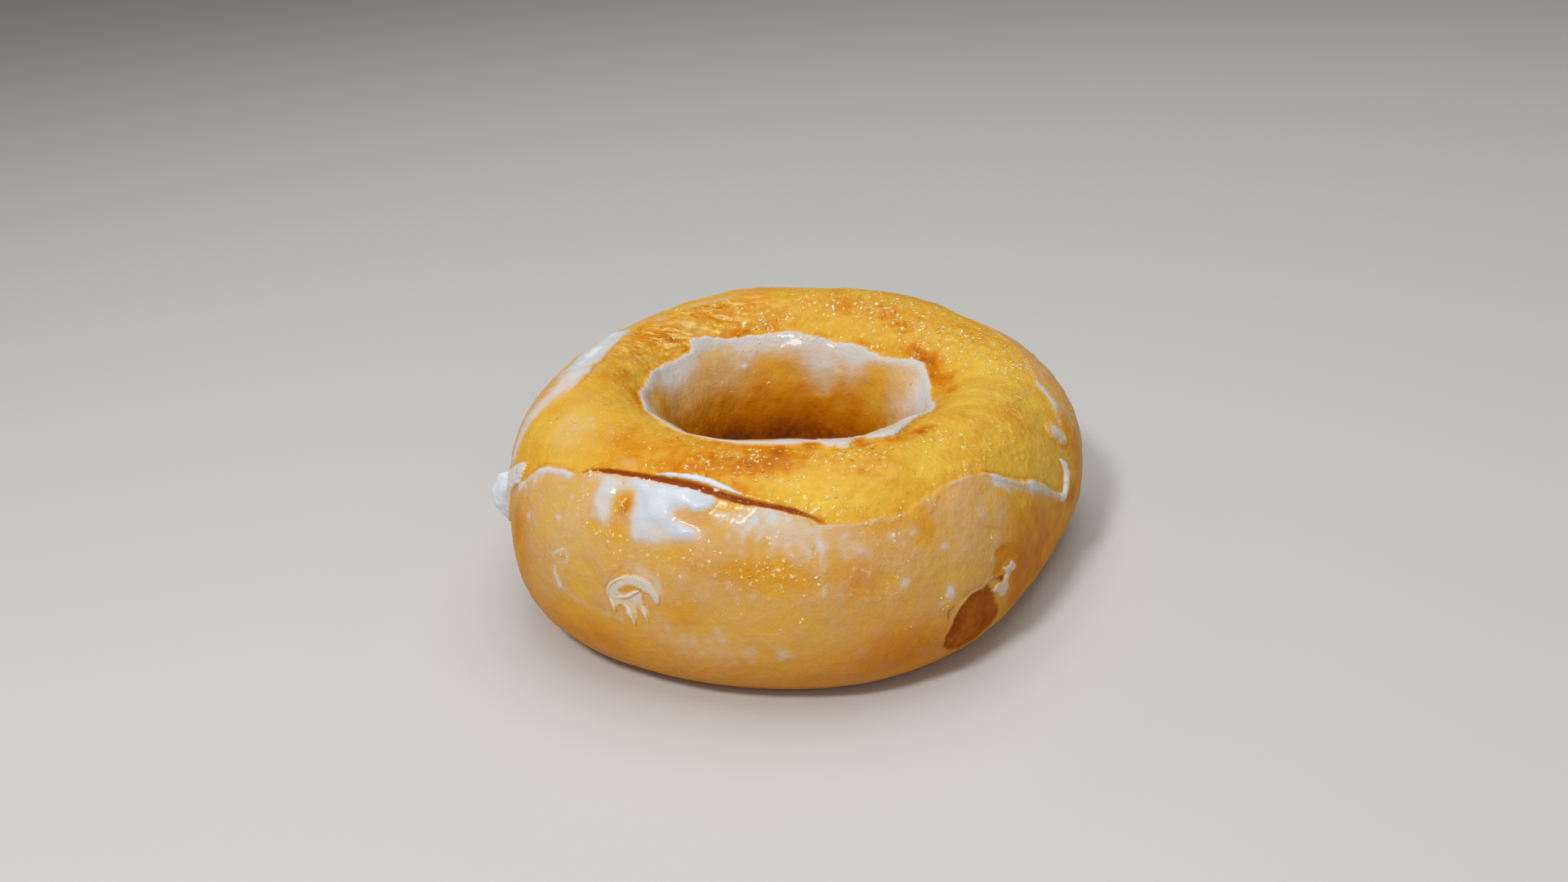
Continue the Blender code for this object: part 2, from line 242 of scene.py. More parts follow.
# How far the dough is browned, in the same way: more is darker, less is yellower
BROWNING = (
    (222, 78, 6, 2.6, 0, 0.09), (250, 45.5, 2.2, 1.3, 0, 0.14), (235.4, 45, 1.4, 2.2, 0, 0.12),
    (236, 84, 14, 5, 0, 0.05), (262, 80, 8, 4, 0, 0.05), (24, 122, 6, 2, 0, 0.16),
    (132, 103, 8, 4, 0, 0.05), (234, 76, 7, 2.4, 0, 0.08), (248, 77, 6, 2, 0, 0.1),
    (256, 76, 5, 2.2, 0, 0.1), (265, 86, 1.4, 2, 0, 0.14), (262, 78, 4, 2.4, 0, 0.14),
    (272.6, 94, 1.2, 1.8, 0, 0.22), (285.6, 98, 0.9, 3, 0, 0.28), (284, 89, 2.2, 1, 0, 0.14),
    (305, 91, 3, 1.1, 0, 0.3), (304, 90, 1, 0.6, 0, 0.16), (297, 87, 3, 1, 0, 0.12),
    (241, 70, 7, 1.2, 0, 0.12), (256, 64, 4, 1, -20, 0.14), (283.5, 66, 2.8, 0.9, -25, 0.16),
    (337, 58, 4.6, 2.4, 0, 0.13), (335.6, 58.5, 1, 0.7, 0, 0.14), (326, 80, 5, 3, 0, 0.07),
    (345, 35, 6, 4, 0, 0.06), (330, 42, 6, 4, 0, 0.02), (325, 5, 9, 6, 0, 0.08), (336, -4, 6, 4, 0, 0.06),
    (315, -10, 5, 5, 0, 0.18), (345, -1, 2.6, 1.8, 0, 0.22), (284, -20, 7, 4, 0, 0.1),
    (291, -28, 7, 4, 0, 0.08), (275, -31, 8, 3, 0, 0.05), (226, -16, 8, 4, 0, 0.05),
    (211, 4, 3, 6, 0, 0.14), (207, 15, 2, 3, 0, 0.16), (288, 8, 3, 4, 0, 0.06), (278, 20, 4, 4, 0, 0.08),
    (10, 120, 7, 2, 0, 0.2), (27, 118, 4, 1.3, 14, 0.16), (0, 114, 5, 1.5, 0, 0.12),
    (45, 111, 2.6, 1.4, 0, 0.18), (53, 101, 8, 2.4, 0, 0.08), (30, 84, 9, 3, 0, 0.06),
    (115, 101, 3, 1.2, -10, 0.2), (112, 126, 5, 1.2, 0, 0.16), (114, 114, 7, 1.2, -26, 0.14),
    (137, 115, 1.6, 3.2, 0, 0.16), (147, 102, 6, 2.4, -10, 0.13), (145, 90, 4, 1.2, 0, 0.12),
    (162, 101, 8, 2.6, 0, 0.1), (181, 112, 2.6, 3, 0, 0.14), (193, 124, 4, 1.5, 0, 0.18),
    (172, 141, 1.6, 3, -20, 0.16), (98, 114, 4, 1.4, 0, 0.1), (209, 92, 7, 2.6, 0, 0.05),
    (226, 61, 2.4, 0.8, 24, 0.16), (263, 57, 5, 0.8, -18, 0.14), (272.5, 46.5, 1.2, 0.7, -50, 0.2),
    (351, 18, 5, 7, 0, 0.08), (322, -10, 9, 4, 0, 0.08), (270, 104, 9, 1.6, 0, 0.16),
    (262, 90, 7, 1.4, 0, 0.14), (258, 74, 8, 2.4, 0, 0.05), (262, 82, 8, 2, 0, 0.06),
    (243, 95, 6, 3, 0, 0.07), (135, 104, 7, 4, 0, 0.04), (284, -7, 5, 5, 0, 0.08),
    (80, 112, 12, 3, 0, 0.08), (62, 112, 8, 3, 0, 0.06), (100, 96, 7, 3, 0, 0.12), (40, 116, 6, 3, 0, 0.06),
)
YELLOWING = (
    (272, 60, 8, 3.4, 0, 0.13), (328, 40, 12, 9, 0, 0.08), (338, 24, 8, 8, 0, 0.08),
    (34, 96, 8, 5, 0, 0.09), (155, 77, 10, 4, 0, 0.1), (38, 163, 8, 4, 0, 0.14), (165, 148, 12, 7, 0, 0.03),
    (265, 67, 4.4, 1.6, 0, 0.12), (280, 52, 4, 1.6, 0, 0.1), (301, 60, 4.6, 2.2, 0, 0.12),
    (292, 63, 4, 2, 0, 0.06), (309, 78, 5, 2.6, 0, 0.08), (297, 77, 4, 2, 0, 0.08),
    (351, 92, 9, 5, 0, 0.14), (334, 88, 5, 3, 0, 0.06), (11, 88, 6, 5, 0, 0.12), (64, 122, 9, 2.4, 0, 0.1),
    (205, 62, 4, 3, 0, 0.08), (212, 70, 6, 5, 0, 0.08), (200, 100, 6, 3, 0, 0.06),
    (90, 104, 7, 2.4, 0, 0.08), (25, 104, 5, 2, 0, 0.06), (222, 30, 7, 5, 0, 0.1), (320, 66, 8, 4, 0, 0.07),
    (355, 66, 6, 5, 0, 0.06), (196, 138, 6, 4, 0, 0.14), (95, 160, 14, 4, 0, 0.06),
    (150, 168, 10, 4, 0, 0.05),
)
STREAKY = (
    (140, 114, 7, 3.4, 0, 1), (116, 110, 9, 4, 0, 1), (162, 108, 5, 2.6, 0, 0.6), (150, 98, 6, 2, 0, 0.4),
)
FROTHY = (
    (45, 104, 12, 4.6, 0, 0.9), (24, 92, 8, 5, 0, 0.8), (62, 96, 9, 4, 0, 0.7), (80, 108, 10, 3.6, 0, 0.6),
    (98, 122, 6, 2.4, 0, 0.8), (10, 74, 8, 2.6, 0, 0.6), (354, 84, 7, 4, 0, 0.35),
    (282, 80, 5, 2.8, 0, 0.6), (256, 82, 6, 2.2, 0, 0.5), (262, 25, 6, 2.2, 0, 0.4),
    (234, 44, 1.6, 1.6, 0, 0.8), (120, 92, 8, 3, 0, 0.5), (308, 76, 5, 2.4, 0, 0.35),
    (345, 66, 6, 2, 0, 0.4), (272, 56, 4, 2, 0, 0.4), (30, 122, 3, 1.2, 0, 0.7),
)

# Runs of milky glaze along an edge, and one short run of painted glints: half width in mm, strength, then
# (turn, roll) places
MILKY_AND_GLINT_RUNS = (
    (0.9, 0.36, ((205.8, 31), (208.4, 39), (210.6, 43.6), (213.2, 47.6), (216, 49.4), (219.6, 50))),
    (
        0.35, 0.12,
        (
            (281.5, 43.4), (285, 42.4), (288, 43.6), (291, 45.8), (294, 47.4), (297, 49.4), (301, 50),
            (306, 49.6),
        ),
    ),
    (1.1, 0.34, ((0.6, 58), (357.6, 50), (354.6, 43), (352.4, 37))),
    (
        2.6, 0.4,
        (
            (150, 82), (158, 84), (166, 87), (175, 88), (182, 86), (188, 82), (192, 75), (193.4, 66),
            (194.6, 52), (196.6, 38),
        ),
    ),
    (0.5, 0.16, ((222.4, 2), (225.6, -1), (230, -4), (232.4, -5), (236, -4.6))),
    (0.4, 0.3, ((221.5, 10), (221.7, 6), (222.8, 3))),
    # This run is a curved line of painted glints
    (0.3, 0.2, ((221, 15), (223.8, 19), (224.8, 15), (222.6, 12))),
    (0.6, 0.1, ((304, 30), (308, 36), (311, 39))),
    (
        1.2, 0.36,
        ((312, 41.6), (316, 36.6), (320, 31), (324, 27), (327.5, 23), (331, 17), (335, 10), (338.5, 5.4)),
    ),
    (0.8, 0.36, ((68, 65), (71, 56), (72, 48), (71.4, 41))),
    (1.1, 0.34, ((103, 71), (105.6, 60), (106.4, 50), (105.4, 42))),
    (0.6, 0.34, ((126, 77), (129, 66), (129.6, 57))), (0.5, 0.26, ((40, 62), (41, 54), (39.6, 47))),
)

# Thin dark lines: those in the crevices round the torn spot are painted shade, the others are dark lines
# along glaze edges and in the dough: half width in mm, strength, then (turn, roll) places
DARK_RUNS = (
    (0.22, 0.55, ((293.2, -9), (293.2, -5), (294.2, -3.4))),
    (0.2, 0.45, ((296.6, 0.4), (298.6, 1.4), (302.4, 0.8), (305, 0), (307, -1.8))),
    (0.3, 0.55, ((305.6, -0.4), (307, -1.8), (306.4, -3))),
    (0.14, 0.26, ((303.8, 25.2), (306, 23.4), (308, 21))),
    (0.16, 0.2, ((236.6, 20), (234.2, 14), (232.8, 8))), (0.18, 0.3, ((296, 46), (292.8, 40))),
    (0.22, 0.16, ((206.6, 36), (209.4, 45.6), (212.6, 50), (216, 52.2), (219.4, 52.8))),
    (0.25, 0.2, ((310, 48.4), (317, 39.6), (324, 32), (327.4, 29.4), (334.2, 17.6), (338, 11.4))),
)

# Fields of small bubbles: turn, roll, half sizes round the ring and over it in mm, and how many
BUBBLE_FIELDS = (
    (45, 104, 10, 4, 210), (26, 94, 8, 5, 130), (62, 98, 9, 4, 90), (80, 110, 9, 3, 80),
    (98, 123, 5, 2, 60), (30, 121, 3, 1.2, 30), (10, 82, 6, 5, 30), (12, 71, 8, 1.4, 40),
    (352, 80, 4, 3, 20), (118, 112, 8, 3, 40), (120, 93, 8, 2, 40), (145, 114, 5, 3, 36),
    (165, 112, 4, 1.6, 20), (281, 82, 3.4, 2.4, 74), (275, 84, 2, 2.2, 30), (260, 86, 2, 1.6, 34),
    (259, 77, 5, 2.2, 40), (246, 86, 6, 1.6, 16), (243, 70, 6, 0.8, 26), (234, 86, 5, 3, 16),
    (220, 76, 5, 3, 14), (266, 68, 3, 0.8, 18), (275.4, 58.6, 0.9, 0.5, 14), (271.6, 53, 1.2, 0.6, 22),
    (279, 50, 2, 0.8, 14), (306, 79, 2.6, 2.2, 30), (296, 76, 6, 3, 24), (313, 62, 4, 2.6, 26),
    (305, 54, 1.6, 0.7, 14), (330, 66, 8, 2.6, 24), (348, 67, 5, 1.4, 16), (262, 25, 4.6, 1.8, 74),
    (250, 27, 3, 1.4, 26), (268, 20, 4, 2.4, 20), (234.4, 45.6, 1, 1.2, 34), (233, 31.5, 3.2, 0.9, 34),
    (225, 42, 1.6, 2, 18), (225, 54.6, 2, 0.5, 20), (222.6, 15, 1.2, 1.2, 20), (240, 26, 6, 2, 24),
    (252, 36, 1.8, 1.6, 22), (265, 42, 4, 1.6, 34), (257, 52, 3.6, 1.2, 18), (282, 38, 4, 2.4, 20),
    (290, 44, 4, 1, 18), (284, 18, 5, 5, 22), (306, 24, 2.4, 3, 12), (245, 5, 8, 6, 14), (262, 4, 8, 3, 16),
    (293, 2, 1, 1.4, 12), (232.6, 56.4, 1.2, 0.8, 8), (247, 59.6, 5, 0.4, 22), (240, 58.8, 3, 0.7, 18),
    (70, 134.5, 14, 0.5, 44), (112, 133, 9, 1, 24), (100, 150, 14, 4, 26), (200, 70, 8, 6, 14),
    (60, 50, 20, 8, 60), (120, 40, 20, 10, 60), (170, 40, 16, 10, 40), (10, 30, 10, 8, 24),
)


def screen(red, green, blue):
    """A colour as a screen shows it, 0 to 255, in linear light."""
    return tuple(((part / 255 + 0.055) / 1.055) ** 2.4 for part in (red, green, blue))


def tint(name, description, colour):
    return bpy.props.FloatVectorProperty(
        name=name, description=description, subtype="COLOR", size=3, min=0, max=1, default=screen(*colour)
    )


def number(name, description, default, **kind):
    return bpy.props.FloatProperty(name=name, description=description, default=default, **kind)


def length(name, description, default):
    return number(name, description, default, min=0, unit="LENGTH", precision=5)


def view_angle(name, description, degrees):
    return number(name, description, math.radians(degrees), subtype="ANGLE")


def light_power(name, description, watts):
    return number(name, description, watts, unit="POWER")


class DoughLook(bpy.types.PropertyGroup):
    """The colours and the relief of the dough and the film on it."""

    yellow: tint("Yellow", "The least browned dough", (228, 186, 70))
    gold: tint("Gold", "The dough's usual colour under the clear film", (219, 164, 54))
    amber: tint("Amber", "Dough that is browned through the film", (207, 128, 12))
    chestnut: tint("Chestnut", "Well browned dough", (176, 92, 7))
    # Deep in the hole this colour also stands for painted shade
    brown: tint("Brown", "The darkest browning, deep in the hole", (112, 48, 4))
    haze: tint("Haze", "A thin milky film", (205, 160, 82))
    blush: tint("Blush", "A thicker film, a little pink", (210, 178, 138))
    pearl: tint("Pearl", "Glaze that nearly hides the dough", (212, 200, 190))
    white: tint("White", "Thick glaze", (201, 206, 212))
    bright: tint("Bright", "The thickest glaze", (226, 230, 235))
    bare: tint("Bare dough", "Dough that the torn film has left bare", (150, 74, 14))
    crack: tint("Crack", "The inside of the crack", (140, 62, 20))
    # A painted highlight colour for the lit crowns of the bubbles and the glints on the flecks; it also
    # tints the curl's lower lobes cream
    shine: tint("Shine", "The lit tops of the bubbles", (252, 236, 178))
    gloss: number("Gloss", "How strongly the clear coat shines", 0.17, min=0, max=1, subtype="FACTOR")
    lump_height: length("Lumps", "How far the dough's broad lumps stand out", 0.08 * MM)
    grain_height: length("Grain", "How far its small bumps stand out", 0.045 * MM)
    film_height: length("Film", "Thickness of the film on the outer side", 0.16 * MM)
    pool_height: length("Pool", "Height of the pool of white glaze under the crack", 0.35 * MM)
    film_rim: length("Film rim", "How far the film's edge stands above it", 0.07 * MM)
    crack_depth: length("Crack depth", "Depth of the crack", 0.32 * MM)
    crack_width: length("Crack width", "Width of the crack", 1.5 * MM)


class GlazeSizes(bpy.types.PropertyGroup):
    """The sizes of the thick glaze."""

    crescent_height: length("Crescent", "Height of the glaze above the crack", 0.30 * MM)
    ledge_height: length("Ledge", "Height of the ledge on the right shoulder", 0.25 * MM)
    drop_height: length("Drop", "Height of the drop on the right side", 0.4 * MM)
    lip_height: length("Hole lip", "Height of the lip along the hole", 0.45 * MM)
    flake_height: length("Flake", "Height of the torn flake", 0.4 * MM)
    sheet_height: length("Drip sheet", "Height of the glaze that the left drip hangs from", 0.7 * MM)
    curl_height: length("Curl", "Height of the curl on the front", 0.4 * MM)
    bubble_small: length("Smallest bubble", "Half length of the smallest bubbles", 0.12 * MM)
    bubble_large: length("Largest bubble", "Half length of the largest bubbles", 0.42 * MM)


class StageLook(bpy.types.PropertyGroup):
    """The camera, the lights and the floor."""

    elevation: view_angle("Elevation", "How far the camera looks down", 24.82)
    roll: view_angle("Roll", "How far the picture is turned to the left", 4.28)
    field: view_angle("Field of view", "The camera's field of view up the picture", 35)
    distance: length("Distance", "From the camera to its target", 233.3 * MM)
    key_power: light_power("Key", "Power of the key light", 1.9)
    top_power: light_power("Top", "Power of the light above", 2.7)
    fill_power: light_power("Fill", "Power of the fill light", 0.7)
    sky: number("Sky", "Brightness of the room all round", 0.20, min=0)
    floor: tint("Floor", "The floor's colour", (205, 203, 200))


def waves(turn, terms):
    return sum(size * np.cos(count * (turn - math.radians(crest))) for count, size, crest in terms)


def ring_places(turn, roll):
    """Places on the plain ring at turns and rolls in degrees."""
    turn, roll = np.radians(turn), np.radians(roll)
    outer = OUTER_RADIUS + waves(turn, OUTLINE_WAVES)
    hole = HOLE_RADIUS + waves(turn, HOLE_WAVES)
    height = HEIGHT + waves(turn, HEIGHT_WAVES)
    widest = WIDEST_LEVEL * height
    across, up = np.cos(roll), np.sin(roll)
    power = np.where(up > 0, UPPER_FULLNESS, LOWER_FULLNESS)
    size = (np.abs(across) ** power + np.abs(up) ** power) ** (1 / power)
    radius = (outer + hole) / 2 + (outer - hole) / 2 * across / size
    rise = np.where(up > 0, height - widest, widest * BASE_CUT)
    level = np.maximum(0, widest + rise * up / size)
    swell = np.minimum(1, level / (8 * MM)) * sum(
        high * np.sin(around * turn + math.radians(phase)) * np.cos(over * roll)
        for around, over, high, phase in SWELLS
    )
    radius = radius + swell * across
    level = np.maximum(0, level + swell * up)
    return np.stack(
        (GRID_CENTRE[0] + radius * np.cos(turn), GRID_CENTRE[1] + radius * np.sin(turn), level), axis=-1
    )


def unit(vectors):
    return vectors / np.maximum(np.linalg.norm(vectors, axis=-1, keepdims=True), 1e-12)


def ring_axes(turn, roll):
    """Unit vectors on the plain ring: round the hole, up over the section, and out of the dough."""
    step = 0.6
    around = unit(ring_places(turn + step, roll) - ring_places(turn - step, roll))
    over = unit(ring_places(turn, roll + step) - ring_places(turn, roll - step))
    out = unit(np.cross(around, over))
    return around, np.cross(out, around), out


def degree_lengths(turn, roll):
    """How long a degree of turn and a degree of roll are at a place on the ring."""
    halves = np.array((0.5, -0.5))
    around = np.subtract(*ring_places(turn + halves, np.array((roll, roll))))
    over = np.subtract(*ring_places(np.array((turn, turn)), roll + halves))
    return np.linalg.norm(around), np.linalg.norm(over)


def ripples(places, size, seed):
    """A smooth random field through space, mostly within -1 to 1, with bumps of about this size."""
    random = np.random.default_rng(seed)
    ways = unit(random.normal(size=(WAVE_COUNT, 3)))
    ways = ways * (2 * math.pi / (size * random.uniform(0.7, 1.5, WAVE_COUNT)))[:, None]
    phases = random.uniform(0, 2 * math.pi, WAVE_COUNT)
    return np.cos(places @ ways.T + phases).sum(1) / math.sqrt(WAVE_COUNT)


def smooth_step(low, high, value):
    part = np.clip((value - low) / (high - low), 0, 1)
    return part * part * (3 - 2 * part)


def bell(value, middle, half):
    """1 at the middle, falling smoothly to nothing on both sides."""
    return np.exp(-(((value - middle) / half) ** 2))


def unwrapped(points):
    """(turn, roll) points with their turns running on past 360."""
    turns = [points[0][0]]
    for turn, _ in points[1:]:
        turns.append(turn + 360 * round((turns[-1] - turn) / 360))
    return [np.array((turn, roll), float) for turn, (_, roll) in zip(turns, points)]


def smooth_line(points, closed=False):
    """(turn, roll) places on a Catmull-Rom curve through points, as an array."""
    knots = unwrapped(points)
    if closed:
        knots = [knots[-1], *knots, knots[0], knots[1]]
    else:
        knots = [2 * knots[0] - knots[1], *knots, 2 * knots[-1] - knots[-2]]
    places = []
    for a, b, c, d in zip(knots, knots[1:], knots[2:], knots[3:]):
        for t in np.arange(CURVE_STEPS) / CURVE_STEPS:
            bend = 2 * a - 5 * b + 4 * c - d + t * (3 * (b - c) + d - a)
            places.append(b + 0.5 * t * (c - a + t * bend))
    if not closed:
        places.append(knots[-2])
    return np.array(places)


def edge_roll(turn, edge):
    """The roll of an edge that runs right round the ring, at turns in degrees."""
    knots = sorted((angle % 360, roll) for angle, roll in edge)
    turns, rolls = np.array(knots).T
    return np.interp(turn % 360, turns, rolls, period=360)


def edge_depth(turn, past_edge, edge, turn_length):
    """How deep places lie behind an edge that runs round the ring, from the degrees of roll past it.

    Near the edge its slope counts too. The turn length is how long a degree of turn is at each place.
    """
    slope = (edge_roll(turn + 0.5, edge) - edge_roll(turn - 0.5, edge)) * ROLL_LENGTH / turn_length
    depth = past_edge * ROLL_LENGTH
    return depth / np.hypot(1, slope * bell(depth, 0, 2 * MM))


def line_distance(places, line):
    """How far places are from a line of places in space, up to the reach."""
    nearest = np.full(len(places), REACH)
    close = np.flatnonzero(np.all((places > line.min(0) - REACH) & (places < line.max(0) + REACH), axis=1))
    near = places[close]
    distance = nearest[close]
    for start, end in zip(line, line[1:]):
        along = end - start
        part = np.clip((near - start) @ along / max(along @ along, 1e-18), 0, 1)
        distance = np.minimum(distance, np.linalg.norm(near - start - part[:, None] * along, axis=1))
    nearest[close] = distance
    return nearest


def inside_outline(turn, roll, outline):
    """Which turns and rolls lie within a closed outline of (turn, roll) places."""
    middle = outline[:, 0].mean()
    turn = (turn - middle + 180) % 360 - 180
    corners = np.column_stack((outline[:, 0] - middle, outline[:, 1]))
    within = np.zeros(len(turn), bool)
    for (x0, y0), (x1, y1) in zip(corners, np.roll(corners, -1, axis=0)):
        if y0 != y1:
            crosses = (y0 > roll) != (y1 > roll)
            within ^= crosses & (turn < x0 + (roll - y0) / (y1 - y0) * (x1 - x0))
    return within


def depth_in_outline(turn, roll, places, points):
    """How far places are inside a closed outline of (turn, roll) points. Outside it they are below zero."""
    outline = smooth_line(points, closed=True)
    line = ring_places(*outline.T)
    distance = line_distance(places, np.vstack((line, line[:1])))
    return np.where(inside_outline(turn, roll, outline), distance, -distance)


def soft_patches(places, patches, wobble):
    """The summed strength of soft oval patches at places on the plain ring."""
    total = np.zeros(len(places))
    for turn, roll, round_half, over_half, slant, strength in patches:
        middle = np.array(float(turn)), np.array(float(roll))
        around, over, out = ring_axes(*middle)
        offset = places - ring_places(*middle)
        reach = 2.6 * MM * max(round_half, over_half)
        close = np.flatnonzero(np.abs(offset).max(1) < reach)
        x, y, z = offset[close] @ around / MM, offset[close] @ over / MM, offset[close] @ out / MM
        angle = math.radians(slant)
        along = (x * math.cos(angle) + y * math.sin(angle)) / round_half
        across = (y * math.cos(angle) - x * math.sin(angle)) / over_half
        spread = (along**2 + across**2) * (1 + 0.25 * np.clip(wobble[close], -1.5, 1.5))
        total[close] += strength * np.exp(-(spread**1.3) - (z / (4 + round_half)) ** 2)
    return total


def soft_runs(places, runs, wobble):
    """The summed strength of soft runs along (turn, roll) points at places on the plain ring."""
    total = np.zeros(len(places))
    for half, strength, points in runs:
        distance = line_distance(places, ring_places(*smooth_line(points).T)) / (half * MM)
        total += strength * np.exp(-((distance * (1 + 0.2 * wobble)) ** 2))
    return total


FINISH_NAMES = ("baked", "milk", "bare", "crack", "streak", "froth", "shine")


class Skin:
    """The doughnut's skin at turns and rolls in degrees: its places, the way out, and its finishes."""

    def __init__(self, turn, roll, look):
        turn = np.asarray(turn, float) % 360
        roll = (np.asarray(roll, float) + 90) % 360 - 90
        plain = ring_places(turn, roll)
        self.plain = plain
        self.around, self.over, self.out = ring_axes(turn, roll)
        sizes = ((11, 1), (4.2, 2), (1.7, 3), (0.9, 4))
        broad, middling, small, fine = (ripples(plain, size * MM, seed) for size, seed in sizes)
        ragged = 0.3 * middling + 0.5 * small + 0.3 * fine

        # How deep each place lies in the film, in the hole's glaze and in the two bare spots
        turn_length = np.linalg.norm(plain - RING_MIDDLE, axis=1) * math.radians(1)
        film_depth = edge_depth(turn, edge_roll(turn, FILM_EDGE) - roll, FILM_EDGE, turn_length)
        film_depth = film_depth + 0.22 * MM * ragged
        hole_depth = edge_depth(turn, roll - edge_roll(turn, HOLE_EDGE), HOLE_EDGE, turn_length)
        hole_depth = hole_depth + 0.20 * MM * ragged
        torn_depth = depth_in_outline(turn, roll, plain, TORN_OUTLINE) + 0.20 * MM * ragged
        gold_depth = depth_in_outline(turn, roll, plain, GOLD_OUTLINE) + 0.18 * MM * ragged
        film = smooth_step(-0.1 * MM, 0.25 * MM, film_depth)
        hole = smooth_step(-0.1 * MM, 0.25 * MM, hole_depth)
        torn = smooth_step(-0.05 * MM, 0.2 * MM, torn_depth)
        gold_spot = smooth_step(-0.05 * MM, 0.2 * MM, gold_depth)
        film_rim = bell(film_depth, 0.35 * MM, 0.3 * MM)
        hole_rim = bell(hole_depth, 0.8 * MM, 0.8 * MM)
        torn_rim = bell(torn_depth, -0.25 * MM, 0.22 * MM)
        underside = np.maximum(smooth_step(-36, -62, roll), smooth_step(228, 250, roll))

        # The crack narrows towards its ends
        from_crack = line_distance(plain, ring_places(*smooth_line(CRACK_PATH).T))
        from_crack = from_crack + 0.05 * MM * (middling + small)
        crack_half = look.crack_width / 2 * np.interp(turn, *zip(*CRACK_WIDTHS))
        there = smooth_step(219.5, 226, turn) * smooth_step(275.5, 269, turn)
        crack = (1 - smooth_step(0.3, 1.2, from_crack / crack_half)) * there

        # The pool of glaze and its leg fade out softly, but for the finger on the right
        blur = (1.3 - 0.9 * smooth_step(244, 248, turn) * smooth_step(39, 42, roll)) * MM
        pool_depth = depth_in_outline(turn, roll, plain, POOL_OUTLINE) + 0.10 * MM * (middling + small)
        leg_depth = depth_in_outline(turn, roll, plain, LEG_OUTLINE) + 0.08 * MM * (middling + small)
        pool_depth, leg_depth = pool_depth / blur, leg_depth / blur
        pool = np.maximum(smooth_step(-1, 1, pool_depth), 0.80 * smooth_step(-1, 0.8, leg_depth))
        thick = np.maximum(smooth_step(-0.4, 1.6, pool_depth), 0.7 * smooth_step(-0.4, 1.0, leg_depth))

        # Froth and streaks in the clear film
        froth = soft_patches(plain, FROTHY, middling) + 0.16 * (1 - film) * (1 - hole)
        froth = froth + 0.14 * film * smooth_step(0, 20, roll) * smooth_step(300, 280, turn)
        froth = np.clip(froth, 0, 1) * (1 - pool)
        streak = np.clip(soft_patches(plain, STREAKY, middling), 0, 1) * (1 - hole)

        # How milky the film on the side, the glaze in the hole and the top are. A few of the patches and
        # runs are painted glints
        side = soft_patches(plain, SIDE_MILK_AND_GLINTS, small) - soft_patches(plain, SIDE_GOLD, middling)
        side = side + 0.35 + 0.03 * broad + 0.03 * middling - 0.10 * smooth_step(8, -30, roll)
        inner = soft_patches(plain, HOLE_MILK_AND_GLINT, middling) - soft_patches(plain, HOLE_GOLD, middling)
        inner = inner + 0.60 - 0.26 * smooth_step(0.5 * MM, 7 * MM, hole_depth)
        inner = inner + 0.05 * broad + 0.04 * middling
        inner = inner * (1 - smooth_step(148, 176, roll + 4 * middling))
        inner = np.minimum(inner + 0.16 * hole_rim, 0.76)
        top = soft_patches(plain, TOP_MILK, small) + 0.03 * broad
        milk = top * (1 - film) * (1 - hole) + side * film + inner * hole
        milk = milk + soft_runs(plain, MILKY_AND_GLINT_RUNS, small) + 0.10 * film_rim * (0.5 + 0.5 * middling)
        milk = milk + 0.12 * torn_rim * smooth_step(-18, -4, roll)
        poured = pool * (0.84 - 0.14 * smooth_step(46, 34, roll) + 0.05 * middling)
        milk = milk + (1 - np.clip(milk, 0, 1)) * poured
        milk = milk * (1 - torn) * (1 - gold_spot) * (1 - 0.6 * underside) * (1 - crack)
        self.milk = np.clip(milk, 0, 1)

        # How far the dough is browned. It is darker towards the bottom, and deep in the hole and along the
        # crevice lines it also carries painted shade
        baked = 0.30 + soft_patches(plain, BROWNING, small) - soft_patches(plain, YELLOWING, middling)
        baked = baked + 0.04 * broad + 0.03 * middling + soft_runs(plain, DARK_RUNS, fine)
        under_edge = bell(hole_depth, -0.45 * MM, 0.45 * MM)
        baked = baked + 0.10 * under_edge * (0.6 + 0.5 * middling)
        baked = baked + 0.09 * film + 0.10 * smooth_step(0, -34, roll) + 0.12 * underside
        # Darker deep in the hole: partly browning, partly painted shade
        deep = 0.15 * smooth_step(134, 152, roll) + 0.18 * smooth_step(150, 168, roll)
        deep = deep + 0.28 * smooth_step(164, 184, roll)
        baked = baked + deep * (1 - 0.4 * underside)
        baked = baked - 0.1 * bell(turn, 52, 14) * smooth_step(164, 176, roll)
        baked = np.where(gold_spot > 0.5, np.maximum(baked, 0.50), baked)
        self.baked = np.clip(baked, 0, 1)
        self.bare = torn
        self.crack = crack
        self.streak = streak
        self.froth = froth * (1 - torn)
        self.shine = np.zeros(len(turn))

        # How far the surface stands out of the plain ring
        grainy = 1 - 0.6 * np.maximum(film, hole)
        relief = look.lump_height * (0.7 * broad + 0.6 * middling)
        relief = relief + look.grain_height * (small + 0.8 * fine) * grainy * (0.5 + 1.3 * froth)
        relief = relief + look.film_height * (film + 1.5 * hole)
        relief = relief + look.film_rim * (film_rim + 1.2 * hole_rim)
        relief = relief + 0.25 * MM * np.clip(milk - 0.45, 0, 0.3)
        relief = relief - 0.30 * MM * torn - 0.16 * MM * gold_spot + 0.12 * MM * torn_rim
        relief = relief - look.crack_depth * (1 - smooth_step(0.1, 1.2, from_crack / crack_half)) * there
        relief = relief + look.pool_height * thick * (1 + 0.25 * middling) * (1 - crack)
        relief = relief + 0.09 * MM * streak * ripples(plain * STREAK_SHAPE, 0.9 * MM, 9)
        self.places = plain + (relief * (1 - underside))[:, None] * self.out
        self.places[:, 2] = np.maximum(self.places[:, 2], 0)

    def finishes(self):
        return {name: getattr(self, name) for name in FINISH_NAMES}


def keep_finishes(mesh, finishes):
    """Stores each finish's strength at each point of a mesh, as an attribute that the material reads."""
    for name in FINISH_NAMES:
        attribute = mesh.attributes.new(name, "FLOAT", "POINT")
        attribute.data.foreach_set("value", np.ascontiguousarray(finishes[name], np.float32))


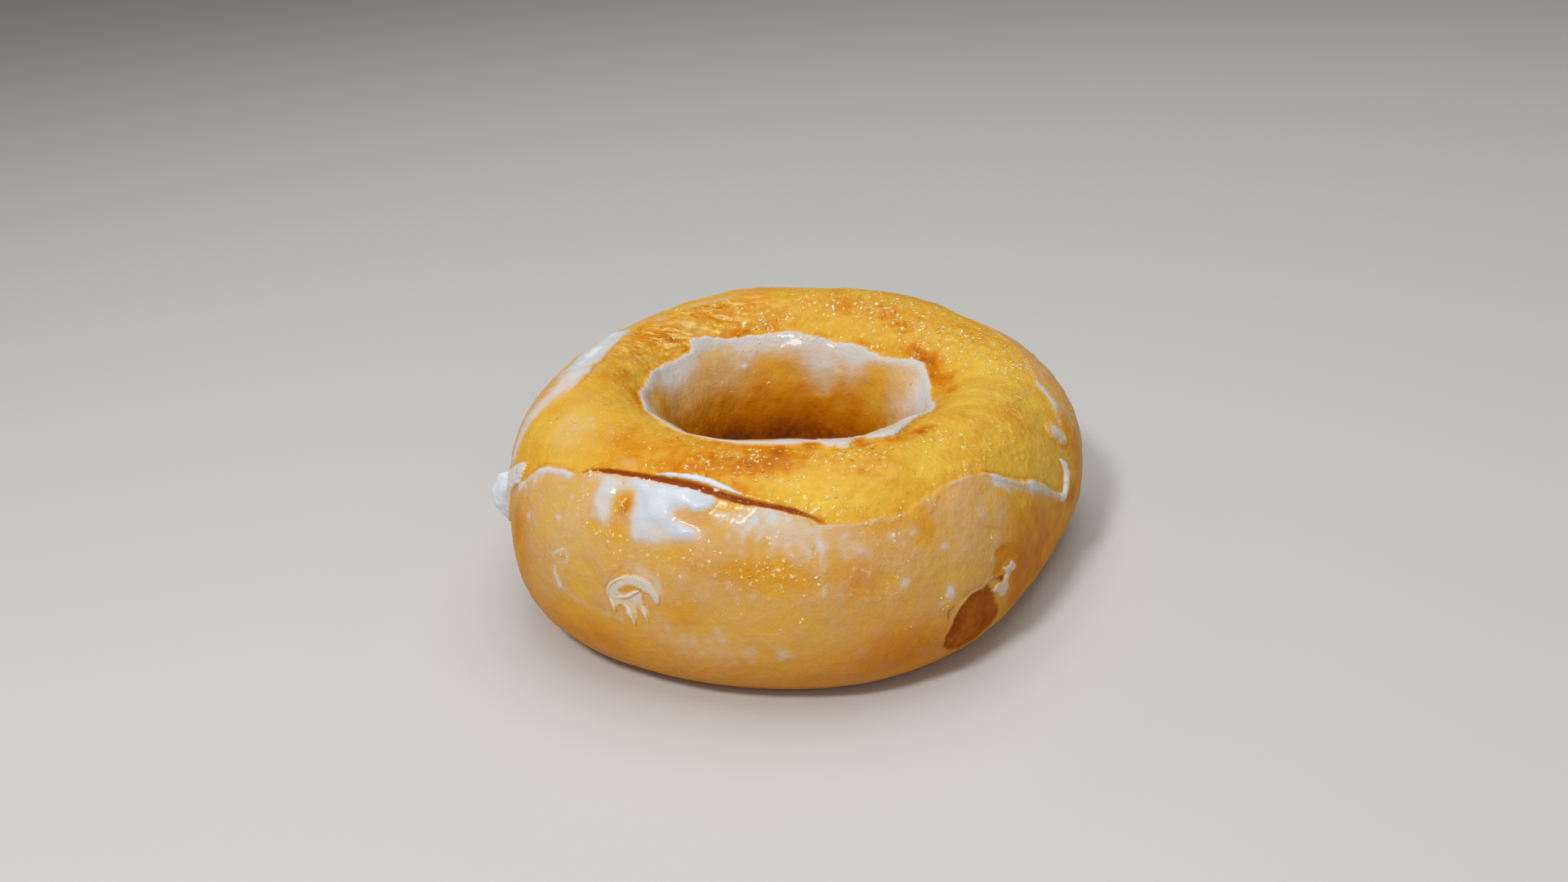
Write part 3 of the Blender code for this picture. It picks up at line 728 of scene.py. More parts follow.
class Socket:
    """A value in a material, for use in Python's own expressions."""

    def __init__(self, finish, link):
        self.finish = finish
        self.link = link

    def calculate(self, operation, *values):
        return self.finish.node("ShaderNodeMath", {"operation": operation}, dict(enumerate(values)))

    def __add__(self, other):
        return self.calculate("ADD", self, other)

    def __radd__(self, other):
        return self.calculate("ADD", other, self)

    def __sub__(self, other):
        return self.calculate("SUBTRACT", self, other)

    def __rsub__(self, other):
        return self.calculate("SUBTRACT", other, self)

    def __mul__(self, other):
        return self.calculate("MULTIPLY", self, other)

    def __rmul__(self, other):
        return self.calculate("MULTIPLY", other, self)

    def within(self, low, high):
        """0 up to low, 1 from high, and smooth between them."""
        settings = {"interpolation_type": "SMOOTHSTEP"}
        values = {"Value": self, "From Min": low, "From Max": high}
        return self.finish.node("ShaderNodeMapRange", settings, values)


class Finish:
    """A material and the nodes that it is made of."""

    def __init__(self, name):
        self.material = bpy.data.materials.new(name)
        self.material.use_nodes = True
        self.nodes = self.material.node_tree.nodes
        self.links = self.material.node_tree.links
        self.shader = self.nodes["Principled BSDF"]

    def feed(self, socket, value):
        if isinstance(value, Socket):
            self.links.new(value.link, socket)
        else:
            socket.default_value = value

    def shade(self, name, value):
        """Feeds one of the shader's sockets."""
        self.feed(self.shader.inputs[name], value)

    def node(self, kind, settings=None, values=None, output=0):
        """Adds a node of any kind, with its settings or a ramp's stops, and what its sockets are fed."""
        node = self.nodes.new(kind)
        for name, value in (settings or {}).items():
            if name == "stops":
                stops = node.color_ramp.elements
                while len(stops) < len(value):
                    stops.new(1)
                for stop, (place, colour) in zip(stops, value):
                    stop.position = place
                    stop.color = (*colour, 1)
            else:
                setattr(node, name, value)
        for name, value in (values or {}).items():
            self.feed(node.inputs[name], value)
        return Socket(self, node.outputs[output])

    def mix(self, part, start, end):
        """A colour between two colours."""
        colours = [(*value, 1) if isinstance(value, tuple) else value for value in (start, end)]
        settings = {"data_type": "RGBA", "blend_type": "MIX"}
        return self.node("ShaderNodeMix", settings, {0: part, 6: colours[0], 7: colours[1]}, 2)

    def ramp(self, place, stops):
        return self.node("ShaderNodeValToRGB", {"stops": stops}, {"Fac": place})

    def strength(self, name):
        return self.node("ShaderNodeAttribute", {"attribute_name": name}, output="Fac")

    def noise(self, size, detail, stretch=(1, 1, 1)):
        """Noise from 0 to 1 in the piece's own coordinates, with features of about this size."""
        place = self.node("ShaderNodeTexCoord", output="Object")
        if stretch != (1, 1, 1):
            place = self.node("ShaderNodeMapping", values={"Vector": place, "Scale": stretch})
        values = {"Vector": place, "Scale": 1 / size, "Detail": detail, "Roughness": 0.55}
        return self.node("ShaderNodeTexNoise", values=values)


# Colours from the least browned dough to the most, and from the thinnest glaze to the thickest
DOUGH_TONES = ((0.10, "yellow"), (0.32, "gold"), (0.54, "amber"), (0.80, "chestnut"), (0.98, "brown"))
GLAZE_TONES = ((0.12, "haze"), (0.48, "blush"), (0.72, "pearl"), (0.88, "white"), (1.0, "bright"))


def glazed_finish():
    """Fried dough under glaze. The strengths kept on a mesh say how browned, milky or torn it is."""
    name = "glazed dough"
    if name in bpy.data.materials:
        return bpy.data.materials[name]
    look = bpy.context.scene.doughnut_dough
    finish = Finish(name)
    blotch = finish.noise(5 * MM, 3) - 0.5
    speckle = finish.noise(1.3 * MM, 3) - 0.5
    dust = finish.noise(0.55 * MM, 2) - 0.5
    lines = finish.noise(1.1 * MM, 2, stretch=STREAK_SHAPE) - 0.5
    baked, milk, bare, crack, streak, froth, shine = (finish.strength(kind) for kind in FINISH_NAMES)

    place = finish.node("ShaderNodeTexCoord", output="Object")
    values = {"Vector": place, "Scale": 1 / (0.7 * MM), "Detail": 1.0}
    wander = finish.node("ShaderNodeTexNoise", values=values, output="Color")
    values = {0: wander, 1: (0.9 * MM, 0.9 * MM, 0.9 * MM), 2: place}
    wandering = finish.node("ShaderNodeVectorMath", {"operation": "MULTIPLY_ADD"}, values, "Vector")
    values = {"Vector": wandering, "Scale": 1 / (1.15 * MM), "Randomness": 1.0, "Smoothness": 0.1}
    cell = finish.node("ShaderNodeTexVoronoi", {"feature": "SMOOTH_F1"}, values, "Distance")
    # Flecks in the froth are small bumps, and their pale colour is a painted glint
    fleck = (1 - cell.within(0.20, 0.32)) * (speckle + blotch * 0.6 + froth * 0.20).within(0.0, 0.06)

    calm = (1 - milk) * (1 - milk)
    mottle = blotch * 0.22 + speckle * (0.16 + froth * 0.10) + dust * (0.12 + froth * 0.20)
    browning = baked + mottle * calm
    # Along the streaks the colour is painted lighter and darker as highlight and shade, and the cells round
    # the flecks are painted darker as shade
    browning = browning - lines * streak * 0.5 + (cell - 0.45) * (0.04 + froth * 0.22) * calm
    colour = finish.ramp(browning, [(at, tuple(getattr(look, tone))) for at, tone in DOUGH_TONES])

    # Painted glints on the flecks, and painted highlights along the streaks
    pale = fleck * froth + lines.within(0.0, 0.12) * streak * 0.65
    colour = finish.mix(pale, colour, screen(246, 216, 132))
    milkiness = milk + (blotch * 0.20 + speckle * 0.16) * (milk * (1 - milk) * 3 + 0.06)
    glaze = finish.ramp(milkiness, [(at, tuple(getattr(look, tone))) for at, tone in GLAZE_TONES])
    colour = finish.mix(milkiness.within(0.02, 0.78), colour, glaze)
    # More painted glint on the flecks, in the glint colour
    colour = finish.mix(fleck * froth * 0.7, colour, tuple(look.shine))
    crust = finish.mix((speckle + blotch + 0.3).within(0.0, 0.6), tuple(look.bare), screen(182, 100, 32))
    colour = finish.mix(bare, colour, crust)
    colour = finish.mix(crack.within(0.0, 0.5) * 0.85, colour, screen(184, 100, 24))
    colour = finish.mix(crack.within(0.35, 1.0), colour, tuple(look.crack))
    # Painted highlights on the bubbles' crowns, and cream on the curl's lower lobes
    colour = finish.mix(shine, colour, tuple(look.shine))
    finish.shade("Base Color", colour)

    rough = 0.28 + speckle * 0.16 + bare * 0.22 + milk * 0.14 - shine * 0.12
    finish.shade("Roughness", rough)
    coat = (1 - bare * 0.7) * (1 - milk * 0.4) * look.gloss + shine * 0.7 + fleck * froth * 0.35
    finish.shade("Coat Weight", coat)
    finish.shade("Coat Roughness", 0.10)
    finish.shade("Coat IOR", 1.6)
    finish.shade("Specular IOR Level", 0.0)

    peel = speckle * (0.9 - milk * 0.5) + dust * (0.25 + froth * 0.5 + bare * 0.4) + lines * streak * 1.2
    peel = peel + fleck * froth * 0.8
    values = {"Strength": 1.0, "Distance": 0.30 * MM, "Height": peel}
    finish.shade("Normal", finish.node("ShaderNodeBump", values=values))
    return finish.material


def pale_floor():
    finish = Finish("pale floor")
    look = bpy.context.scene.doughnut_stage
    cloud = finish.noise(400 * MM, 2)
    colour = finish.mix(cloud * 0.06, tuple(look.floor), screen(190, 188, 186))
    finish.shade("Base Color", colour)
    finish.shade("Roughness", 0.7)
    return finish.material


def clear_selection():
    for other in bpy.context.view_layer.objects:
        other.select_set(False)


def alone(obj):
    """Selects one object only."""
    clear_selection()
    obj.select_set(True)
    bpy.context.view_layer.objects.active = obj


def finish_piece(obj, name):
    """Names a piece, shades it smooth, gives it its material, and fixes it to the part."""
    obj.name = name
    obj.data.name = name
    obj.data.materials.clear()
    obj.data.materials.append(glazed_finish())
    obj.data.shade_smooth()
    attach(obj, BODY)
    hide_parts(NODE)


def mesh_places(obj):
    places = np.empty(len(obj.data.vertices) * 3, np.float32)
    obj.data.vertices.foreach_get("co", places)
    return places.reshape(-1, 3).astype(float)


def set_places(obj, places):
    obj.data.vertices.foreach_set("co", np.ascontiguousarray(places, np.float32).ravel())
    obj.data.update()


def torus(section_steps, middle, tube):
    """A torus with each of its faces cut in four, and the turns and rolls of its points in radians."""
    clear_selection()
    bpy.ops.mesh.primitive_torus_add(
        major_segments=RING_STEPS,
        minor_segments=section_steps,
        major_radius=middle,
        minor_radius=tube,
        location=(0, 0, 0),
    )
    bpy.ops.object.mode_set(mode="EDIT")
    bpy.ops.mesh.select_all(action="SELECT")
    bpy.ops.mesh.subdivide(number_cuts=1)
    bpy.ops.object.mode_set(mode="OBJECT")
    ring = bpy.context.object
    x, y, z = mesh_places(ring).T
    return ring, np.arctan2(y, x), np.arctan2(z, np.hypot(x, y) - middle)


def layer_lift(from_edge):
    """How far a layer lies above the dough, at distances from its edge. It dips under the dough there."""
    return 0.04 * MM - 0.14 * MM * smooth_step(1.2 * MM, 0, from_edge)


class DOUGHNUT_OT_dough(bpy.types.Operator):
    """Add the ring of fried dough, with the clear film on it"""

    bl_idname = "doughnut.dough"
    bl_label = "Dough"

    SECTION_STEPS = 96
    # Points lie closer together round this turn and this roll, where the doughnut is seen from nearest
    CLOSE_TURN = 262
    CLOSE_ROLL = 75
    CLOSENESS = 0.34

    def execute(self, context):
        middle, tube = (OUTER_RADIUS + HOLE_RADIUS) / 2, (OUTER_RADIUS - HOLE_RADIUS) / 2
        ring, turn, roll = torus(self.SECTION_STEPS, middle, tube)
        turn = turn - self.CLOSENESS * np.sin(turn - math.radians(self.CLOSE_TURN))
        roll = roll - self.CLOSENESS * np.sin(roll - math.radians(self.CLOSE_ROLL))
        turn, roll = np.degrees(turn) % 360, (np.degrees(roll) + 90) % 360 - 90
        skin = Skin(turn, roll, context.scene.doughnut_dough)
        # The dough lies a little deeper under the layers that are laid on it
        under = depth_in_outline(turn, roll, skin.plain, FRONT_OUTLINE) / MM
        band = np.minimum(roll - HOLE_BAND[0], HOLE_BAND[1] - roll) * ROLL_LENGTH / MM
        sunk = np.maximum(smooth_step(1.0, 2.0, under), smooth_step(1.0, 2.0, band)) * 0.3 * MM
        set_places(ring, skin.places - sunk[:, None] * skin.out)
        keep_finishes(ring.data, skin.finishes())
        finish_piece(ring, "dough")
        return {"FINISHED"}


def shell_grid(low, high, cell):
    """A flat grid over turns and rolls from low to high, in cells of about this size, and its places."""
    lengths = degree_lengths(*(low + high) / 2)
    cells = [max(4, int(size * step / cell)) for size, step in zip(high - low, lengths)]
    clear_selection()
    bpy.ops.mesh.primitive_grid_add(
        x_subdivisions=cells[0], y_subdivisions=cells[1], size=2, location=(0, 0, 0)
    )
    shell = bpy.context.object
    turn, roll = (low + (mesh_places(shell)[:, :2] + 1) / 2 * (high - low)).T
    return shell, turn, roll


def wall_shell(shell, kept, thickness):
    """Deletes the points of a shell that aren't kept, and gives the rest a wall on the inside."""
    alone(shell)
    bpy.ops.object.mode_set(mode="EDIT")
    bpy.ops.mesh.select_mode(type="VERT")
    bpy.ops.mesh.select_all(action="DESELECT")
    bpy.ops.object.mode_set(mode="OBJECT")
    shell.data.vertices.foreach_set("select", ~kept)
    bpy.ops.object.mode_set(mode="EDIT")
    bpy.ops.mesh.delete(type="VERT")
    bpy.ops.object.mode_set(mode="OBJECT")
    wall = shell.modifiers.new("wall", "SOLIDIFY")
    wall.thickness = thickness
    wall.offset = -1
    bpy.ops.object.modifier_apply(modifier=wall.name)


# Degrees of turn and roll that the grid of a piece of glaze reaches past its outline
GRID_MARGIN = (1.5, 2.5)


def glaze_shell(
    name, outline, height, edge, *, ragged, cell, milk, thick, seed, hollow=None, thin=None, shine=0.0
):
    """A piece of thick glaze over the area within an outline, highest inside. It dips under at its edge.

    The edge, ragged, cell and thick lengths are in mm. A hollow is the outline of a pit in it, and thin
    gives the rolls between which it gets clearer downwards.
    """
    line = smooth_line(outline, closed=True)
    shell, turn, roll = shell_grid(line.min(0) - GRID_MARGIN, line.max(0) + GRID_MARGIN, cell * MM)
    skin = Skin(turn, roll, bpy.context.scene.doughnut_dough)
    depth = depth_in_outline(turn % 360, roll, skin.plain, outline)
    pit, thinness = np.zeros(len(turn)), np.zeros(len(turn))
    if hollow:
        pit = smooth_step(-0.35 * MM, 0.45 * MM, depth_in_outline(turn % 360, roll, skin.plain, hollow))
    if thin:
        thinness = smooth_step(*thin, roll)
    edge_wobble = ripples(skin.plain, 1.5 * MM, seed) + 0.5 * ripples(skin.plain, 0.7 * MM, seed + 1)
    depth = depth + ragged * MM * edge_wobble
    rounding = np.sqrt(1 - (1 - np.clip(depth / (edge * MM), 0, 1)) ** 2)
    wobble = 1 + 0.12 * ripples(skin.plain, 3.2 * MM, seed + 2)
    wobble = wobble + 0.04 * ripples(skin.plain, 1.2 * MM, seed + 3)
    high = height * rounding * wobble * (1 - 0.6 * pit)
    lift = np.where(depth > 0, high, -0.2 * MM * np.clip(-depth / (0.25 * MM), 0, 1))
    milk = milk * (1 - 0.6 * pit) * (1 - 0.3 * thinness)
    set_places(shell, skin.places + lift[:, None] * skin.out)
    finishes = skin.finishes()
    finishes["milk"] = np.maximum(skin.milk, milk * smooth_step(-0.15, 1, lift / (thick * MM)))
    finishes["bare"] = finishes["bare"] * 0
    # On thick glaze this strength tints the lower part cream and makes its coat glossier
    finishes["shine"] = shine * (lift > 0) * (1 - pit) * thinness
    finishes["crack"] = finishes["crack"] * (lift < 0)
    keep_finishes(shell.data, finishes)
    wall_shell(shell, depth > -0.35 * MM, 0.35 * MM)
    finish_piece(shell, name)


class DOUGHNUT_OT_front_film(bpy.types.Operator):
    """Add the film on the front with the crack and the torn spot, as a layer of fine faces"""

    bl_idname = "doughnut.front_film"
    bl_label = "Front film"

    def execute(self, context):
        line = smooth_line(FRONT_OUTLINE, closed=True)
        shell, turn, roll = shell_grid(line.min(0), line.max(0), 0.285 * MM)
        skin = Skin(turn, roll, context.scene.doughnut_dough)
        depth = depth_in_outline(turn % 360, roll, skin.plain, FRONT_OUTLINE)
        set_places(shell, skin.places + layer_lift(depth)[:, None] * skin.out)
        keep_finishes(shell.data, skin.finishes())
        wall_shell(shell, depth > 0, 0.3 * MM)
        finish_piece(shell, "front_film")
        return {"FINISHED"}


class DOUGHNUT_OT_hole_film(bpy.types.Operator):
    """Add the film in the hole and over its rim, as a closed band of fine faces"""

    bl_idname = "doughnut.hole_film"
    bl_label = "Hole film"

    SECTION_STEPS = 80
    # The degrees of the torus's section that become the band's seen side. The rest come back under it
    SEEN = 300
    BAND_DEPTH = 0.35 * MM

    def execute(self, context):
        # The torus's own radii don't matter, because each of its points is moved
        band, turn, across = torus(self.SECTION_STEPS, 2, 1)
        turn, across = np.degrees(turn), np.degrees(across) % 360
        seen = across < self.SEEN
        roll_over = np.interp(across, (0, self.SEEN), HOLE_BAND)
        roll = np.where(seen, roll_over, np.interp(across, (self.SEEN, 360), HOLE_BAND[::-1]))
        skin = Skin(turn, roll, context.scene.doughnut_dough)
        from_edge = np.minimum(roll - HOLE_BAND[0], HOLE_BAND[1] - roll) * ROLL_LENGTH
        lift = np.where(seen, layer_lift(from_edge), -self.BAND_DEPTH)
        set_places(band, skin.places + lift[:, None] * skin.out)
        keep_finishes(band.data, skin.finishes())
        finish_piece(band, "hole_film")
        return {"FINISHED"}


class DOUGHNUT_OT_crescent(bpy.types.Operator):
    """Add the crescent of white glaze above the crack"""

    bl_idname = "doughnut.crescent"
    bl_label = "Crescent"

    def execute(self, context):
        height = context.scene.doughnut_glaze.crescent_height
        glaze_shell(
            "crescent", CRESCENT_OUTLINE, height, 0.6, ragged=0.04, cell=0.15, milk=0.96, thick=0.3, seed=24
        )
        return {"FINISHED"}


class DOUGHNUT_OT_ledge(bpy.types.Operator):
    """Add the pale ledge of glaze on the right shoulder, with its ridge and its drop"""

    bl_idname = "doughnut.ledge"
    bl_label = "Ledge, ridge and drop"

    # The ridge's (turn, roll) places, with its radius and its lift in mm at each
    RIDGE_PATH = ((338.2, 6.4), (340.2, 5), (341.8, 8), (343, 13), (343.3, 19), (342.6, 24.5))
    RIDGE_RADII = (0.6, 0.85, 0.9, 0.8, 0.65, 0.2)
    RIDGE_LIFTS = (-0.2, -0.15, -0.1, -0.05, 0, 0)
    DROP_OUTLINE = (
        (343.8, 42), (345.2, 45), (347.6, 44.4), (349.6, 40.5), (350.9, 35), (351, 29), (349.4, 25.4),
        (346.8, 27), (344.6, 32), (343.6, 37.6),
    )

    def execute(self, context):
        sizes = context.scene.doughnut_glaze
        height = sizes.ledge_height
        glaze_shell(
            "ledge", LEDGE_OUTLINE, height, 1.1, ragged=0.05, cell=0.17, milk=0.70, thick=0.3, seed=28
        )
        height = sizes.drop_height
        glaze_shell(
            "drop", self.DROP_OUTLINE, height, 2.0, ragged=0.05, cell=0.16, milk=0.78, thick=0.5, seed=68
        )
        ridge = glaze_rope(self.RIDGE_PATH, self.RIDGE_RADII, self.RIDGE_LIFTS)
        finish_rope([ridge], "ridge", milk=0.76, voxel=0.16 * MM, wobble=0.07, seed=50)
        return {"FINISHED"}


class DOUGHNUT_OT_lip(bpy.types.Operator):
    """Add the thick lip of glaze along the right and front of the hole"""

    bl_idname = "doughnut.lip"
    bl_label = "Hole lip"

    def execute(self, context):
        height = context.scene.doughnut_glaze.lip_height
        glaze_shell("lip", LIP_OUTLINE, height, 1.8, ragged=0.08, cell=0.18, milk=0.66, thick=0.4, seed=32)
        height = height * 0.6
        glaze_shell(
            "lip_lobe", LOBE_OUTLINE, height, 1.6, ragged=0.10, cell=0.14, milk=0.74, thick=0.3, seed=72
        )
        return {"FINISHED"}


class DOUGHNUT_OT_flake(bpy.types.Operator):
    """Add the flake of film that is left between the two bare spots"""

    bl_idname = "doughnut.flake"
    bl_label = "Torn flake"

    def execute(self, context):
        height = context.scene.doughnut_glaze.flake_height
        glaze_shell(
            "flake", FLAKE_OUTLINE, height, 0.35, ragged=0.14, cell=0.14, milk=0.62, thick=0.2, seed=36
        )
        return {"FINISHED"}


def tapered_tube(places, radii):
    """A round tube through places in space, with its own radius at each."""
    curve = bpy.data.curves.new("tube", "CURVE")
    curve.dimensions = "3D"
    curve.bevel_depth = 1.0
    curve.bevel_resolution = 4
    curve.use_fill_caps = True
    spline = curve.splines.new("POLY")
    spline.points.add(len(places) - 1)
    for point, place, radius in zip(spline.points, places, radii):
        point.co = (*place, 1)
        point.radius = radius
    tube = bpy.data.objects.new("tube", curve)
    bpy.context.scene.collection.objects.link(tube)
    alone(tube)
    bpy.ops.object.convert(target="MESH")
    return bpy.context.object


def glaze_rope(path, radii, lifts):
    """A run of glaze along (turn, roll) points on the doughnut, with radii and lifts in mm."""
    line = smooth_line(path)
    skin = Skin(line[:, 0], line[:, 1], bpy.context.scene.doughnut_dough)
    along = np.linspace(0, 1, len(line))
    radius, lift = (np.interp(along, np.linspace(0, 1, len(sizes)), sizes) * MM for sizes in (radii, lifts))
    return tapered_tube(skin.places + lift[:, None] * skin.out, radius)


def finish_rope(tubes, name, *, milk, voxel, wobble, seed, baked=0.3, shine=0.0):
    """Melts tubes into one smooth piece of glaze. The wobble is in mm."""
    clear_selection()
    for tube in tubes:
        tube.select_set(True)
    bpy.context.view_layer.objects.active = tubes[0]
    if len(tubes) > 1:
        bpy.ops.object.join()
    piece = bpy.context.view_layer.objects.active
    alone(piece)
    melt = piece.modifiers.new("melt", "REMESH")
    melt.mode = "VOXEL"
    melt.voxel_size = voxel
    bpy.ops.object.modifier_apply(modifier=melt.name)
    soften = piece.modifiers.new("soften", "SMOOTH")
    soften.factor = 0.5
    soften.iterations = 8
    bpy.ops.object.modifier_apply(modifier=soften.name)
    places = mesh_places(piece)
    normals = np.empty(len(places) * 3, np.float32)
    piece.data.vertices.foreach_get("normal", normals)
    places = places + wobble * MM * ripples(places, 1.5 * MM, seed)[:, None] * normals.reshape(-1, 3)
    set_places(piece, places)
    finishes = {kind: np.zeros(len(places)) for kind in FINISH_NAMES}
    finishes["milk"] = np.clip(milk + 0.06 * ripples(places, 2.0 * MM, seed + 1), 0, 1)
    finishes["baked"][:] = baked
    finishes["shine"][:] = shine
    keep_finishes(piece.data, finishes)
    finish_piece(piece, name)


class DOUGHNUT_OT_drip(bpy.types.Operator):
    """Add the double drip of white glaze that hangs over the left side"""

    bl_idname = "doughnut.drip"
    bl_label = "Left drip"

    # The hanging lobe's (turn, roll) places, with its radius and its lift in mm at each
    LOBE_PATH = ((199.4, 29), (198.8, 25.5), (198.4, 20.5), (198.6, 15.5), (199.4, 9.5))
    LOBE_RADII = (1.0, 1.7, 2.0, 1.7, 0.6)
    LOBE_LIFTS = (0.2, 0.8, 0.95, 0.75, 0.0)
    SHEET_OUTLINE = (
        (198.6, 31.5), (200.6, 36), (202.8, 40.2), (204.7, 42), (205.6, 38.4), (205.4, 33), (203.8, 29),
        (202.6, 25), (202, 21), (201.6, 16), (200.6, 9), (198, 8), (197, 20),
    )

    def execute(self, context):
        lobe = glaze_rope(self.LOBE_PATH, self.LOBE_RADII, self.LOBE_LIFTS)
        finish_rope([lobe], "drip", milk=0.93, voxel=0.2 * MM, wobble=0.05, seed=54)
        height = context.scene.doughnut_glaze.sheet_height
        glaze_shell(
            "drip_sheet", self.SHEET_OUTLINE, height, 1.3,
            ragged=0.05, cell=0.16, milk=0.74, thick=0.5, seed=56,
        )
        return {"FINISHED"}


class DOUGHNUT_OT_curl(bpy.types.Operator):
    """Add the curl of cream glaze on the front, with its points that hang down"""

    bl_idname = "doughnut.curl"
    bl_label = "Curl"

    OUTLINE = (
        (233.7, 7.8), (234, 10.8), (235, 13.3), (236.6, 15.9), (238, 17.4), (239.4, 18), (241, 17.2),
        (242.4, 15.6), (243.4, 13), (243.9, 10), (243.9, 7.6), (243.3, 6.4), (242.6, 7.6), (242, 9.8),
        (240.9, 9.4), (240.9, 6), (241.6, 2), (241.3, -3.2), (240.6, -0.8), (240, 1.4), (239.7, 2.8),
        (239.3, -0.4), (238.8, -5.4), (238, -3), (237.2, -0.1), (236.7, 2.3), (235.8, 2.6), (235.2, 0),
        (234.6, 0.8), (234.2, 3.4), (233.7, 5.4),
    )
    HOLLOW = (
        (236.2, 9.2), (236.9, 11.4), (238.2, 12.9), (239.8, 12.7), (241.2, 11), (241.6, 9.4), (240.2, 10.3),
        (238.8, 10.1), (237.4, 8.7),
    )
    # Folds that stand up from it: (turn, roll) places, with the radius and the lift in mm at each
    FOLDS = (
        (
            ((233.9, 6.2), (234.2, 9.8), (235.2, 12.8), (236.7, 15.2), (238.4, 16.7)),
            (0.15, 0.26, 0.26, 0.22, 0.10), (0.3, 0.4, 0.4, 0.35, 0.2),
        ),
        (
            ((235.6, 6.6), (237, 7.4), (238.4, 9), (239.4, 10.6), (240.4, 11.6)),
            (0.10, 0.26, 0.32, 0.28, 0.10), (0.3, 0.45, 0.5, 0.45, 0.2),
        ),
        (
            ((236.9, 5.4), (238, 2.2), (238.5, -1.4), (238.8, -5.8)), (0.20, 0.42, 0.34, 0.10),
            (0.2, 0.3, 0.3, 0.25),
        ),
        (((234.4, 5.4), (235, 2.8), (235.2, -0.2)), (0.26, 0.34, 0.12), (0.2, 0.3, 0.3)),
        (((240.6, 5.2), (241, 1.6), (241.3, -3.4)), (0.20, 0.32, 0.10), (0.2, 0.3, 0.25)),
    )

    def execute(self, context):
        height = context.scene.doughnut_glaze.curl_height
        glaze_shell(
            "curl", self.OUTLINE, height, 0.9, ragged=0.09, cell=0.12, milk=0.68, thick=0.32, seed=58,
            hollow=self.HOLLOW, thin=(9, 0), shine=0.45,
        )
        folds = [glaze_rope(*fold) for fold in self.FOLDS]
        finish_rope(
            folds, "curl_folds", milk=0.66, voxel=0.1 * MM, wobble=0.03, seed=60, baked=0.1, shine=0.24
        )
        return {"FINISHED"}


class DOUGHNUT_OT_bubbles(bpy.types.Operator):
    """Add the small bubbles that stand in the film"""

    bl_idname = "doughnut.bubbles"
    bl_label = "Bubbles"

    # Bubbles made for each one counted in the fields
    SHARE = 1.55

    def execute(self, context):
        sizes = context.scene.doughnut_glaze
        random = np.random.default_rng(11)
        turns, rolls = [], []
        for turn, roll, round_half, over_half, count in BUBBLE_FIELDS:
            count = round(count * self.SHARE)
            # They stand in small clusters
            cluster = random.integers(0, 1 + count // 3, count)
            middles = random.normal(0, 0.6, (1 + count // 3, 2)) * (round_half, over_half)
            offsets = (middles[cluster] + random.normal(0, 0.32, (count, 2))) * MM
            offsets = offsets / degree_lengths(turn, roll)
            turns.append(turn + offsets[:, 0])
            rolls.append(roll + offsets[:, 1])
        skin = Skin(np.concatenate(turns), np.concatenate(rolls), context.scene.doughnut_dough)
        kept = (skin.bare < 0.1) & (skin.crack < 0.3)
        count = int(kept.sum())
        longer = (sizes.bubble_large - sizes.bubble_small) * random.random(count) ** 2.6
        long_half = sizes.bubble_small + longer
        short_half = long_half * random.uniform(0.35, 0.7, count)
        high = short_half * random.uniform(0.5, 0.9, count)
        lean = math.pi / 2 + random.normal(0, 0.8, count)
        around, over, out = (axis[kept] for axis in (skin.around, skin.over, skin.out))
        long_way = around * np.cos(lean)[:, None] + over * np.sin(lean)[:, None]
        short_way = np.cross(out, long_way)

        clear_selection()
        bpy.ops.mesh.primitive_uv_sphere_add(segments=7, ring_count=5, radius=1, location=(0, 0, 0))
        bubble = context.object
        points = mesh_places(bubble)
        faces = sorted(tuple(face.vertices) for face in bubble.data.polygons)
        spread = (
            points[None, :, 0, None] * (long_half[:, None] * long_way)[:, None, :]
            + points[None, :, 1, None] * (short_half[:, None] * short_way)[:, None, :]
            + points[None, :, 2, None] * (high[:, None] * out)[:, None, :]
        )
        spread = spread * random.uniform(0.8, 1.15, (count, len(points), 1))
        places = (skin.places[kept] - 0.02 * MM * out)[:, None, :] + spread
        starts = range(0, count * len(points), len(points))
        every_face = [tuple(start + index for index in face) for start in starts for face in faces]
        joined = bpy.data.meshes.new("bubbles")
        joined.from_pydata(places.reshape(-1, 3).tolist(), [], every_face)
        old = bubble.data
        bubble.data = joined
        bpy.data.meshes.remove(old)

        # A bubble's crown is painted with a highlight, and round its foot it is painted darker and less
        # milky as shade
        lit = np.repeat(random.uniform(0.1, 1.0, count) ** 1.6, len(points))
        painted_crown_glint = np.tile(smooth_step(0.2, 1.0, points[:, 2]), count) * lit
        painted_foot_shade = np.tile(smooth_step(0.8, 0.1, points[:, 2]), count)
        finishes = {name: np.repeat(getattr(skin, name)[kept], len(points)) for name in FINISH_NAMES}
        finishes["shine"] = painted_crown_glint
        finishes["baked"] = np.clip(finishes["baked"] + 0.20 * painted_foot_shade, 0, 1)
        finishes["milk"] = finishes["milk"] * (1 - 0.5 * painted_foot_shade)
        keep_finishes(joined, finishes)
        finish_piece(bubble, "bubbles")
        return {"FINISHED"}


